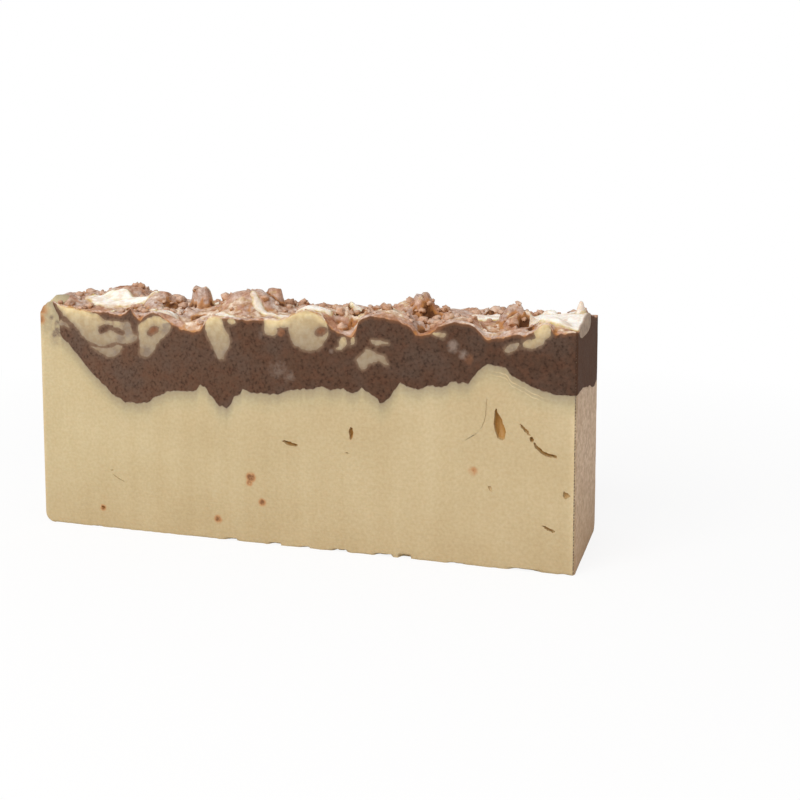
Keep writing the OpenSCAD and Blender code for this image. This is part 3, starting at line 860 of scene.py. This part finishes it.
def crumbPlaces():
    # many places are tried at once, then kept one by one where there is room
    chance = np.random.default_rng(crumbs["seed"])
    tries, edge = crumbs["tries"], crumbs["edge"]
    small, large = crumbs["size"]
    xs = chance.uniform(edge, loafLength - edge, tries)
    ys = chance.uniform(crumbs["frontEdge"], loafWidth - edge, tries)
    sizes = small + (large - small) * chance.random(tries) ** 1.8
    heights = readGrid(topGrid, xs, ys) + crumbs["middle"] * sizes * crumbs["flatness"]
    wanted = chance.random(tries) < mix(crumbs["onCrust"], 1, crumbly(xs, ys))
    wanted &= (drizzledBy(xs, ys) < -0.4 * sizes) & (heights + 1.2 * sizes < tallest)
    wanted &= ys > 1.35 * sizes
    kept = []
    for one in np.flatnonzero(wanted):
        gap = crumbs["clearance"] * (0.5 + sizes[one] / large)
        free = not kept or np.hypot(xs[kept] - xs[one], ys[kept] - ys[one]).min() > gap
        if free and len(kept) < crumbs["places"]:
            kept.append(one)
    return np.column_stack([xs, ys, heights])[kept], sizes[kept]


def burrPlaces():
    crest = readGrid(topGrid, np.array([loafLength - 1]), np.array([0.5]))[0]
    heights = np.arange(burr["lowest"], crest, burr["pitch"])
    chance = np.random.default_rng(burr["seed"])
    heights = heights + chance.uniform(-0.2, 0.2, len(heights))
    sizes = chance.uniform(*burr["size"], len(heights)) * mix(1, 0.6, ease((heights - 60) / 15))
    inset = np.full(len(heights), burr["inset"])
    return np.column_stack([loafLength - inset, inset, heights]), sizes


# Materials

def newMaterial(name):
    # with its nodes' tree, and the place on the object that its patterns follow
    material = bpy.data.materials.new(name)
    material.use_nodes = True
    tree = material.node_tree
    tree.nodes.clear()
    return material, tree, addNode(tree, "ShaderNodeTexCoord").outputs["Object"]


def patches(size):
    # the noise scale whose patches are about size millimetres across
    return 0.5 / (size * mm)


def valuesOf(tree, *names):
    # the numbers that the piece's own points carry
    return [addNode(tree, "ShaderNodeAttribute", {"attribute_name": name}).outputs["Fac"]
            for name in names]


def spreadOver(tree, value, stops):
    # colours or numbers laid out over a value, each at its own place on it
    first, last = stops[0][0], stops[-1][0]
    share = addNode(tree, "ShaderNodeMapRange", {1: first, 2: last}, {0: value})
    placed = [((at - first) / (last - first), colour) for at, colour in stops]
    return addNode(tree, "ShaderNodeValToRGB", {"stops": placed}, {0: share})


def mottled(tree, vector, size, stops, detail=3.0, roughness=0.5):
    # the same over a noise with patches of size millimetres
    noise = addNode(tree, "ShaderNodeTexNoise", {
        "Scale": patches(size), "Detail": detail, "Roughness": roughness}, {"Vector": vector})
    return spreadOver(tree, noise, stops)


def darkened(tree, colour, vector, size, stops, share=0.8, detail=3.0, roughness=0.5):
    # a colour with such a mottle multiplied on it
    shade = mottled(tree, vector, size, stops, detail, roughness)
    return addNode(tree, "ShaderNodeMix", {"data_type": "RGBA", "blend_type": "MULTIPLY", 0: share},
                   {6: colour, 7: shade})


def painted(tree, colour, coats):
    # coats of paint on a colour. Each lies as thick as its stops say over its value, or as its
    # value says where it has no stops, and its paint is a tint or another colour's node.
    for value, stops, paint in coats:
        share = spreadOver(tree, value, stops) if stops else value
        settings, links = ({7: paint}, {}) if isinstance(paint, str) else ({}, {7: paint})
        colour = addNode(tree, "ShaderNodeMix", {"data_type": "RGBA", **settings},
                         {0: share, 6: colour, **links})
    return colour


def madeUneven(tree, value, place, size, reach):
    # a distance in millimetres, shifted up and down by reach in patches of size millimetres
    noise = addNode(tree, "ShaderNodeTexNoise", {"Scale": patches(size), "Detail": 3.0}, {"Vector": place})
    shift = addNode(tree, "ShaderNodeMath", {"operation": "MULTIPLY_ADD", 1: 4 * reach, 2: -2 * reach},
                    {0: noise})
    return addNode(tree, "ShaderNodeMath", {"operation": "ADD"}, {0: value, 1: shift})


def drawnOut(tree, place, wander, size, stretch):
    # the place, swirled about by wander in patches of size, and drawn out by stretch
    noise = addNode(tree, "ShaderNodeTexNoise", {"Scale": patches(size), "Detail": 2.0}, {"Vector": place})
    shift = addNode(tree, "ShaderNodeVectorMath",
                    {"operation": "MULTIPLY_ADD", 1: [wander * 2 * mm] * 3, 2: [-wander * mm] * 3},
                    {0: noise.outputs["Color"]})
    moved = addNode(tree, "ShaderNodeVectorMath", {"operation": "ADD"}, {0: place, 1: shift})
    return addNode(tree, "ShaderNodeMapping", {"Scale": stretch}, {"Vector": moved})


def stainMask(tree, place, stains):
    # 1 in the middle of each stain on the sawn front, fading to 0 at its ragged edge
    mask = None
    for x, z, radius, strength in stains:
        centre = ((x - loafLength / 2) * mm, -loafWidth / 2 * mm, z * mm)
        away = addNode(tree, "ShaderNodeVectorMath", {"operation": "DISTANCE", 1: centre}, {0: place})
        spot = addNode(tree, "ShaderNodeMapRange",
                       {"interpolation_type": "SMOOTHSTEP", 1: radius * mm, 2: 0.0, 4: strength},
                       {0: away.outputs["Value"]})
        if mask is not None:
            spot = addNode(tree, "ShaderNodeMath", {"operation": "MAXIMUM"}, {0: mask, 1: spot})
        mask = spot
    noise = addNode(tree, "ShaderNodeTexNoise", {"Scale": patches(1.3), "Detail": 4.0, "Roughness": 0.65},
                    {"Vector": place})
    rough = addNode(tree, "ShaderNodeMath", {"operation": "MULTIPLY_ADD", 1: 3.6, 2: -0.85}, {0: noise})
    return addNode(tree, "ShaderNodeMath", {"operation": "MULTIPLY"}, {0: mask, 1: rough})


def soapShader(tree, colour, height, finish):
    # the waxy body of a soap: a little light inside, and a broad weak gloss
    bump = addNode(tree, "ShaderNodeBump", {"Strength": 1.0, "Distance": finish["bump"] * mm},
                   {"Height": height})
    shader = addNode(tree, "ShaderNodeBsdfPrincipled", {
        "Roughness": finish["roughness"], "Specular IOR Level": finish["gloss"], "IOR": 1.46,
        "Subsurface Weight": finish["inside"], "Subsurface Radius": (1.0, 0.55, 0.3),
        "Subsurface Scale": 0.0012}, {"Base Color": colour, "Normal": bump})
    addNode(tree, "ShaderNodeOutputMaterial", links={"Surface": shader})


creamFinish = {
    "left": "#c3b28c", "middle": "#c1af8a", "right": "#c3b08b", "edge": "#d7c39d",
    "halo": "#9c8e75", "bled": "#b7aa87", "foot": "#b6a17c", "fringe": "#6a5446",
    "speck": "#b07a4a", "speckMiddle": "#6e4526", "smear": "#6b5749", "amber": "#a87a3a",
    "torn": [(0.34, "#a98464"), (0.5, "#c3a07f"), (0.66, "#d8bb9c")], "tornFootShade": "#a07a50",
    "roughness": 0.55, "gloss": 0.35, "inside": 0.12, "bump": 0.12,
    "amberDepth": 3.6,  # behind the front, where the bubbles end and the sawn end goes on
    "dragSpacing": 0.35,  # of the saw's drag marks
    # specks of orange and brown in the sawn front: place, radius, strength
    "stains": [(96, 26.6, 2.8, 1.9), (95.4, 24.4, 2.0, 1.6), (100.8, 16.8, 2.2, 1.7), (81.4, 8.2, 2.4, 1.6),
               (28.6, 8.4, 2.0, 1.2), (186.8, 36.4, 2.6, 0.8), (1, 91.5, 5.0, 1), (0.4, 86.5, 4.0, 1)],
    # brown smeared over the cream by the saw, in the same way, and the greyed cream round it
    "smears": [(9.4, 81.6, 3.6, 1), (7.6, 80.6, 2.6, 0.9), (8.6, 85, 2.2, 0.7), (6.2, 87.4, 1.8, 0.6)],
    "greyed": [(5.5, 86, 10, 1), (4, 94, 7, 1), (7.5, 79, 6, 0.9)],
    "arcs": [(199, 71, 9, 1.5), (207, 65, 9, 1.5)],
}


def sawnCreamSoap():
    # hard cold-process soap, sawn: waxy, nearly matt, with faint drag marks and clouds
    material, tree, place = newMaterial("sawnCreamSoap")
    finish = creamFinish
    x, y, z = addNode(tree, "ShaderNodeSeparateXYZ", links={0: place}).outputs
    abovePour, inFrom = valuesOf(tree, "abovePour", "inFrom")
    colour = spreadOver(tree, x, [
        (-half, finish["edge"]), (-half + 2.2 * mm, finish["left"]), (-10 * mm, finish["middle"]),
        (half - 3 * mm, finish["right"]), (half, finish["edge"])])
    arcs = spreadOver(tree, madeUneven(tree, abovePour, place, 7.0, 0.3), [
        (-4.1, 0), (-3.8, 0.6), (-3.5, 0), (-2.7, 0), (-2.4, 0.7), (-2.1, 0)])
    arcs = addNode(tree, "ShaderNodeMath", {"operation": "MULTIPLY", "use_clamp": True},
                   {0: arcs, 1: stainMask(tree, place, finish["arcs"])})
    colour = painted(tree, colour, [
        # darker towards the foot: painted shade
        (z, [(0, 0.55), (0.03, 0)], finish["foot"]),
        # greenish grey where the brown bled into it
        (madeUneven(tree, abovePour, place, 5.0, 1.2), [(-9, 0), (-2, 0.95)], finish["bled"]),
        (madeUneven(tree, abovePour, place, 2.0, 0.4), [(-5, 0), (-2, 0.5), (0, 1)], finish["halo"]),
        (stainMask(tree, place, finish["greyed"]), [(0, 0), (0.9, 0.65)], finish["halo"]),
        (madeUneven(tree, abovePour, place, 0.8, 0.35), [(-0.4, 0), (0.1, 0.9)], finish["fringe"]),
        # pale arcs that the sinking brown left in the cream under it
        (arcs, None, finish["edge"]),
    ])

    # broad clouds, upright streaks and a fine mottle
    upright = addNode(tree, "ShaderNodeMapping", {"Scale": (1.0, 1.0, 0.05)}, {"Vector": place})
    for vector, size, detail, tint in ((place, 16.0, 2.0, "#f5f2ed"), (upright, 3.0, 2.0, "#fbf9f6"),
                                       (place, 0.6, 4.0, "#f3efe8")):
        colour = darkened(tree, colour, vector, size, [(0.35, tint), (0.65, "#ffffff")], detail=detail)

    # painted light and shade in the bubbles, stronger further into each hole
    amber = spreadOver(tree, inFrom, [(0.1, 0), (1.6, 0.9)])
    nearFront = addNode(tree, "ShaderNodeMath",
                        {"operation": "LESS_THAN", 1: (finish["amberDepth"] - loafWidth / 2) * mm}, {0: y})
    amber = addNode(tree, "ShaderNodeMath", {"operation": "MULTIPLY"}, {0: amber, 1: nearFront})
    dragged = addNode(tree, "ShaderNodeMapping", {"Scale": (1.0, 0.6, 1.0)}, {"Vector": place})
    torn = mottled(tree, dragged, 0.9, finish["torn"], 4.0, 0.6)
    # painted shade, deeper towards the foot of the torn end
    torn = painted(tree, torn, [(z, [(0, 0.6), (0.035, 0)], finish["tornFootShade"])])
    stains = stainMask(tree, place, finish["stains"])
    colour = painted(tree, colour, [
        # orange specks with a brown middle, and brown smears
        (stains, [(0, 0), (0.6, 0.8)], finish["speck"]),
        (stains, [(0.6, 0), (1.4, 0.85)], finish["speckMiddle"]),
        (stainMask(tree, place, finish["smears"]), [(0.1, 0), (0.8, 0.9)], finish["smear"]),
        # the walls of the opened bubbles are amber, where light comes through the soap: a painted glow,
        # with painted shade that grows deeper into each hole
        (amber, None, finish["amber"]),
        # the torn sawn end is browner and mottled, partly its own colour and partly painted shade, and
        # browner still towards its foot with deeper painted shade
        (x, [(half - 0.5 * mm, 0), (half - 0.15 * mm, 0.85)], torn),
    ])

    # drag marks along the loaf, a soft unevenness and a fine grain
    along = addNode(tree, "ShaderNodeMapping", {"Scale": (0.03, 0.03, 1.0)}, {"Vector": place})
    height = None
    for vector, size, amount in ((along, finish["dragSpacing"], 0.5), (place, 0.5, 0.6), (place, 2.5, 0.6)):
        noise = addNode(tree, "ShaderNodeTexNoise", {"Scale": patches(size), "Detail": 3.0},
                        {"Vector": vector})
        part = addNode(tree, "ShaderNodeMath", {"operation": "MULTIPLY", 1: amount}, {0: noise})
        if height is not None:
            part = addNode(tree, "ShaderNodeMath", {"operation": "ADD"}, {0: height, 1: part})
        height = part
    soapShader(tree, colour, height, finish)
    return material


crustFinish = {
    "brown": "#b88f75", "pink": "#dabfae", "lilac": "#cfc2bc", "ash": "#eadfd5",
    "streak": "#f4ebdc", "greenEdge": "#c9ae6c", "orange": "#b0763f", "deep": "#4c2a18",
}


def crustColour(tree, place, crevice, inCave, upwards, streaked):
    # the crust of the top: pinkish, with lilac clouds and whitish cream drawn out in streaks,
    # orange in its cracks and on its lower sides, partly painted shade, and dark with painted shade in its
    # deeper cracks and its caves
    finish = crustFinish
    colour = mottled(tree, place, 6.0, [
        (0.33, finish["brown"]), (0.45, finish["pink"]), (0.55, finish["lilac"]), (0.66, finish["ash"])])
    swirled = drawnOut(tree, place, 9.0, 9.0, (0.42, 1.0, 1.0))
    vein = addNode(tree, "ShaderNodeTexNoise", {"Scale": patches(3.2), "Detail": 3.0, "Roughness": 0.55},
                   {"Vector": swirled})
    spread = addNode(tree, "ShaderNodeMath", {"operation": "MULTIPLY_ADD", 1: 0.17, 2: -0.1}, {0: streaked})
    vein = addNode(tree, "ShaderNodeMath", {"operation": "ADD"}, {0: vein, 1: spread})
    colour = painted(tree, colour, [
        (vein, [(0.52, 0), (0.54, 0.55), (0.56, 0.55), (0.6, 0)], finish["greenEdge"]),
        (vein, [(0.535, 0), (0.6, 0.9)], finish["streak"]),
    ])
    # small patches of bare brown and pale crumbs, and a fine grain
    for size, dark, pale in ((2.0, "#c49d80", "#fff8f0"), (0.9, "#bf9a80", "#ffffff")):
        colour = darkened(tree, colour, place, size, [(0.34, dark), (0.6, pale)], 0.75, 4.0, 0.6)
    cave = madeUneven(tree, inCave, place, 1.4, 0.3)
    return painted(tree, colour, [
        # orange in cracks, on lower sides and round caves is the rind's colour and painted shade; the dark
        # in deep cracks and mid-cave is painted shade
        (madeUneven(tree, crevice, place, 1.8, 0.25), [(0.06, 0), (0.4, 0.8)], finish["orange"]),
        (madeUneven(tree, crevice, place, 1.2, 0.2), [(0.45, 0), (1.0, 0.85)], finish["deep"]),
        (upwards, [(-0.5, 0.8), (0.1, 0)], finish["orange"]),
        (cave, [(0.1, 0), (0.5, 0.85)], finish["orange"]),
        (cave, [(0.5, 0), (1.0, 0.9)], finish["deep"]),
    ])


brownFinish = {
    "left": "#664d3d", "middle": "#563e2f", "right": "#4e382b", "end": "#523017",
    "redder": "#60402f", "greyer": "#574a41", "rubbed": "#87766a", "eye": "#84583d",
    "bled": "#8f765f", "rim": "#85583a", "line": "#c8a07a",
    "specks": [(0.3, "#938881"), (0.44, "#e9e4e1"), (0.62, "#ffffff")], "speckSize": 0.55,
    "roughness": 0.8, "gloss": 0.15, "inside": 0.04, "bump": 0.45,
    # places rubbed paler by the saw: place, radius, strength
    "scuffs": [(108, 71, 7, 0.5), (113, 68, 5, 0.45), (179, 83, 4, 1), (183, 80, 3.5, 0.7),
               (101, 84, 3, 0.4), (130.5, 79, 2, 0.5)],
    # brown eyes in the swirls that are tinted orange
    "eyes": [(53.5, 84, 4, 1), (126.5, 86.6, 4, 0.8), (109.5, 85.5, 2.8, 1), (185, 78.5, 3.4, 0.5),
             (172, 89, 4, 0.8)],
}


def speckledBrownSoap():
    # brown soap full of fine dark and reddish specks, sawn in front, with a paler broken crust
    material, tree, place = newMaterial("speckledBrownSoap")
    finish = brownFinish
    x = addNode(tree, "ShaderNodeSeparateXYZ", links={0: place}).outputs["X"]
    belowTop, insideSwirl = valuesOf(tree, "belowTop", "insideSwirl")
    crevice, inCave, upwards, streaked = valuesOf(tree, "crevice", "inCave", "upwards", "streaked")
    sawn = spreadOver(tree, x, [
        (-half, finish["left"]), (0, finish["middle"]), (half, finish["right"])])
    for size, tint, share in ((1.6, finish["redder"], 0.5), (7.0, finish["greyer"], 0.45)):
        spots = mottled(tree, place, size, [(0.45, 0), (0.65, share)])
        sawn = painted(tree, sawn, [(spots, None, tint)])
    sawn = darkened(tree, sawn, place, finish["speckSize"], finish["specks"])
    below = madeUneven(tree, belowTop, place, 1.3, 0.5)
    sawn = painted(tree, sawn, [
        (stainMask(tree, place, finish["scuffs"]), [(0.15, 0), (0.9, 0.8)], finish["rubbed"]),
        (stainMask(tree, place, finish["eyes"]), [(0.1, 0), (0.7, 0.85)], finish["eye"]),
        # the cream bleeds into it around each swirl
        (madeUneven(tree, insideSwirl, place, 1.2, 0.6), [(-1.3, 0), (0.1, 0.55)], finish["bled"]),
        # the rind under the crest is orange brown, with a peach line at the very edge that is partly a
        # painted highlight
        (below, [(0.2, 0.8), (0.6, 0.45), (1.8, 0)], finish["rim"]),
        (below, [(-0.2, 0.9), (0.35, 0)], finish["line"]),
        # the sawn end is darker and redder: its own torn colour with painted shade
        (x, [(half - 0.9 * mm, 0), (half - 0.3 * mm, 0.55)], finish["end"]),
    ])
    crust = crustColour(tree, place, crevice, inCave, upwards, streaked)
    colour = painted(tree, sawn, [(belowTop, [(0.05, 1), (0.4, 0)], crust)])
    coarse = addNode(tree, "ShaderNodeTexNoise", {"Scale": patches(1.2), "Detail": 5.0, "Roughness": 0.6},
                     {"Vector": place})
    soapShader(tree, colour, coarse, finish)
    return material


crumbFinish = {"peach": "#d2a988", "roughness": 0.65, "gloss": 0.22, "inside": 0.05, "bump": 0.2}


def crumbledBrownSoap():
    # crumbs of the same soap, peach on top and orange brown below, which is partly painted shade
    material, tree, place = newMaterial("crumbledBrownSoap")
    finish = crumbFinish
    upwards, inCave, streaked = valuesOf(tree, "upwards", "inCave", "streaked")
    # the way a side faces stands in for a crack, so the lower sides get the painted shade of the cracks
    crevice = addNode(tree, "ShaderNodeMath", {"operation": "MULTIPLY_ADD", 1: -0.5, 2: 0.1}, {0: upwards})
    colour = crustColour(tree, place, crevice, inCave, upwards, streaked)
    colour = addNode(tree, "ShaderNodeMix", {"data_type": "RGBA", 0: 0.35, 7: finish["peach"]}, {6: colour})
    grain = addNode(tree, "ShaderNodeTexNoise", {"Scale": patches(0.6), "Detail": 4.0}, {"Vector": place})
    soapShader(tree, colour, grain, finish)
    return material


swirlFinish = {
    "edge": "#86725e", "deep": "#96866f", "middle": "#a49378", "high": "#b9a683", "crest": "#e0cb9c",
    "end": "#7c5f47", "paleEnd": "#a3866a", "smear": "#7f7064", "mottle": "#ece2d2",
    "cream": "#f6eddc", "bright": "#faf5ec", "blotch": "#e5d5c2", "vein": "#cbab93",
    "orangeEdge": "#ad7d47", "greenEdge": "#c4ab66",
    "roughness": 0.5, "gloss": 0.35, "inside": 0.15, "bump": 0.25,
    # places where the saw smeared the brown over it: place, radius, strength
    "smears": [(42.4, 84.4, 5.5, 1.3), (38.6, 79.8, 3.6, 0.9), (45, 79.6, 3, 1),
               (60, 84.5, 4.6, 1.2), (50.6, 75, 4, 1), (36, 73.5, 4, 0.5), (86, 76, 4, 0.5),
               (201, 83.5, 4, 0.8), (12, 85, 3, 0.6)],
}


def marbledCreamSoap():
    # cream soap marbled into the brown: greyish where it is thin and low, bright on the top
    material, tree, place = newMaterial("marbledCreamSoap")
    finish = swirlFinish
    x = addNode(tree, "ShaderNodeSeparateXYZ", links={0: place}).outputs["X"]
    belowTop, crevice, insideSwirl, insideDrizzle = valuesOf(
        tree, "belowTop", "crevice", "insideSwirl", "insideDrizzle")
    sawn = spreadOver(tree, madeUneven(tree, belowTop, place, 3.0, 1.0), [
        (0, finish["crest"]), (3.5, finish["high"]), (9, finish["middle"]), (16, finish["deep"])])
    thin = madeUneven(tree, insideSwirl, place, 1.2, 0.7)
    sawn = painted(tree, sawn, [
        (stainMask(tree, place, finish["smears"]), [(0, 0), (0.7, 0.8)], finish["smear"]),
        (thin, [(0, 0.7), (0.6, 0.3), (1.6, 0)], finish["edge"]),
    ])
    sawn = darkened(tree, sawn, place, 1.0, [(0.35, finish["mottle"]), (0.62, "#ffffff")])

    # the drizzle, with brownish veins and dull blotches in it
    top = spreadOver(tree, madeUneven(tree, insideDrizzle, place, 2.4, 0.8), [
        (-0.2, finish["orangeEdge"]), (0.4, finish["greenEdge"]), (1.3, finish["cream"]),
        (2.6, finish["bright"])])
    swirled = drawnOut(tree, place, 6.0, 8.0, (0.4, 1.0, 1.0))
    blotchy = addNode(tree, "ShaderNodeTexNoise", {"Scale": patches(1.6), "Detail": 4.0, "Roughness": 0.6},
                      {"Vector": place})
    top = painted(tree, top, [
        (mottled(tree, swirled, 2.6, [(0.5, 0), (0.56, 0.65)]), None, finish["vein"]),
        (blotchy, [(0.36, 0.9), (0.55, 0)], finish["blotch"]),
        # yellow-green in the cream's creases: painted shade
        (madeUneven(tree, crevice, place, 1.8, 0.15), [(0.05, 0), (0.4, 0.6)], finish["greenEdge"]),
    ])
    # the torn end of the swirls is mottled and darkened with painted shade
    torn = spreadOver(tree, blotchy, [(0.35, finish["end"]), (0.6, finish["paleEnd"])])
    colour = painted(tree, sawn, [
        (belowTop, [(0.05, 1), (0.6, 0)], top),
        (x, [(half - 0.9 * mm, 0), (half - 0.3 * mm, 0.9)], torn),
    ])
    grain = addNode(tree, "ShaderNodeTexNoise", {"Scale": patches(1.2), "Detail": 4.0}, {"Vector": place})
    soapShader(tree, colour, grain, finish)
    return material


cream, brown, marbled = sawnCreamSoap(), speckledBrownSoap(), marbledCreamSoap()
crumbled = crumbledBrownSoap()
for piece, material in ((creamBase, cream), (brownTop, brown), (creamSwirls, marbled)):
    piece.data.materials.clear()
    piece.data.materials.append(material)

bodies = seedTree("raggedBodies", crumbs["seed"])
topCrumbs = seededPiece("topCrumbs", *crumbPlaces(), bodies, {
    "Flatness": crumbs["flatness"], "Raggedness": crumbs["raggedness"], "Material": crumbled})
sawnBurr = seededPiece("sawnBurr", *burrPlaces(), bodies, {
    "Flatness": 1.1, "Raggedness": burr["raggedness"], "Material": cream})
for piece, slotName in ((topCrumbs, "brown_soap"), (sawnBurr, "cream_soap")):
    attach(piece, "root")
print("crumbs and burr:", len(topCrumbs.data.polygons), len(sawnBurr.data.polygons), "faces")


# Floor, light and camera

studio = {
    "ambient": 0.58,
    "keyPlace": (-0.25, -0.95, 0.85),
    "keyAim": (0, 0, 0.05),
    "keySize": 0.9,
    "keyPower": 12.0,
    "floorGlow": (0.86, 1.0),  # how much of the floor is plain white beside the loaf and far off
    "floorFade": (0.2, 0.45),  # how far off each of them holds
    "cameraPlace": (0.16867, -0.42611, 0.14525),
    "cameraTurn": (math.radians(84.77), 0, math.radians(17.2)),
    "lens": 50.085,
    "shift": -0.15,
}


def paleFloor():
    # white to the eye, apart from part of the loaf's own shadow
    bpy.ops.mesh.primitive_plane_add(size=6)
    floor = bpy.context.object
    floor.name = "floor"
    material, tree, place = newMaterial("paleFloor")
    matt = addNode(tree, "ShaderNodeBsdfDiffuse", {"Color": "#f4f2f1"})
    white = addNode(tree, "ShaderNodeEmission", {"Color": "#ffffff", "Strength": 1.0})
    away = addNode(tree, "ShaderNodeVectorMath", {"operation": "LENGTH"}, {0: place})
    (near, far), (least, most) = studio["floorFade"], studio["floorGlow"]
    glow = addNode(tree, "ShaderNodeMapRange", {1: near, 2: far, 3: least, 4: most},
                   {0: away.outputs["Value"]})
    seen = addNode(tree, "ShaderNodeLightPath")
    share = addNode(tree, "ShaderNodeMath", {"operation": "MULTIPLY"},
                    {0: seen.outputs["Is Camera Ray"], 1: glow})
    both = addNode(tree, "ShaderNodeMixShader", links={0: share, 1: matt, 2: white})
    addNode(tree, "ShaderNodeOutputMaterial", links={"Surface": both})
    floor.data.materials.append(material)


def studioLight():
    # an even room, seen as white, and one large soft lamp in front on the left
    world = bpy.data.worlds.new("studio")
    bpy.context.scene.world = world
    world.use_nodes = True
    tree = world.node_tree
    tree.nodes.clear()
    ray = addNode(tree, "ShaderNodeLightPath")
    shown = ray.outputs["Is Camera Ray"]
    for other in ("Is Glossy Ray", "Is Transmission Ray"):
        shown = addNode(tree, "ShaderNodeMath", {"operation": "MAXIMUM"},
                        {0: shown, 1: ray.outputs[other]})
    strength = addNode(tree, "ShaderNodeMapRange", {3: studio["ambient"], 4: 1.0}, {0: shown})
    white = addNode(tree, "ShaderNodeBackground", {"Color": "#ffffff"}, {"Strength": strength})
    addNode(tree, "ShaderNodeOutputWorld", links={"Surface": white})
    key = addObject("key", bpy.data.lights.new("key", "AREA"))
    key.data.size = studio["keySize"]
    key.data.energy = studio["keyPower"]
    key.location = studio["keyPlace"]
    aim = Vector(studio["keyAim"]) - key.location
    key.rotation_euler = aim.to_track_quat("-Z", "Y").to_euler()


def addCamera():
    camera = addObject("camera", bpy.data.cameras.new("camera"))
    camera.data.sensor_width = 36
    camera.data.lens = studio["lens"]
    camera.data.shift_y = studio["shift"]
    camera.location = studio["cameraPlace"]
    camera.rotation_euler = studio["cameraTurn"]
    bpy.context.scene.camera = camera


paleFloor()
studioLight()
addCamera()
bpy.context.scene.view_settings.view_transform = "Standard"
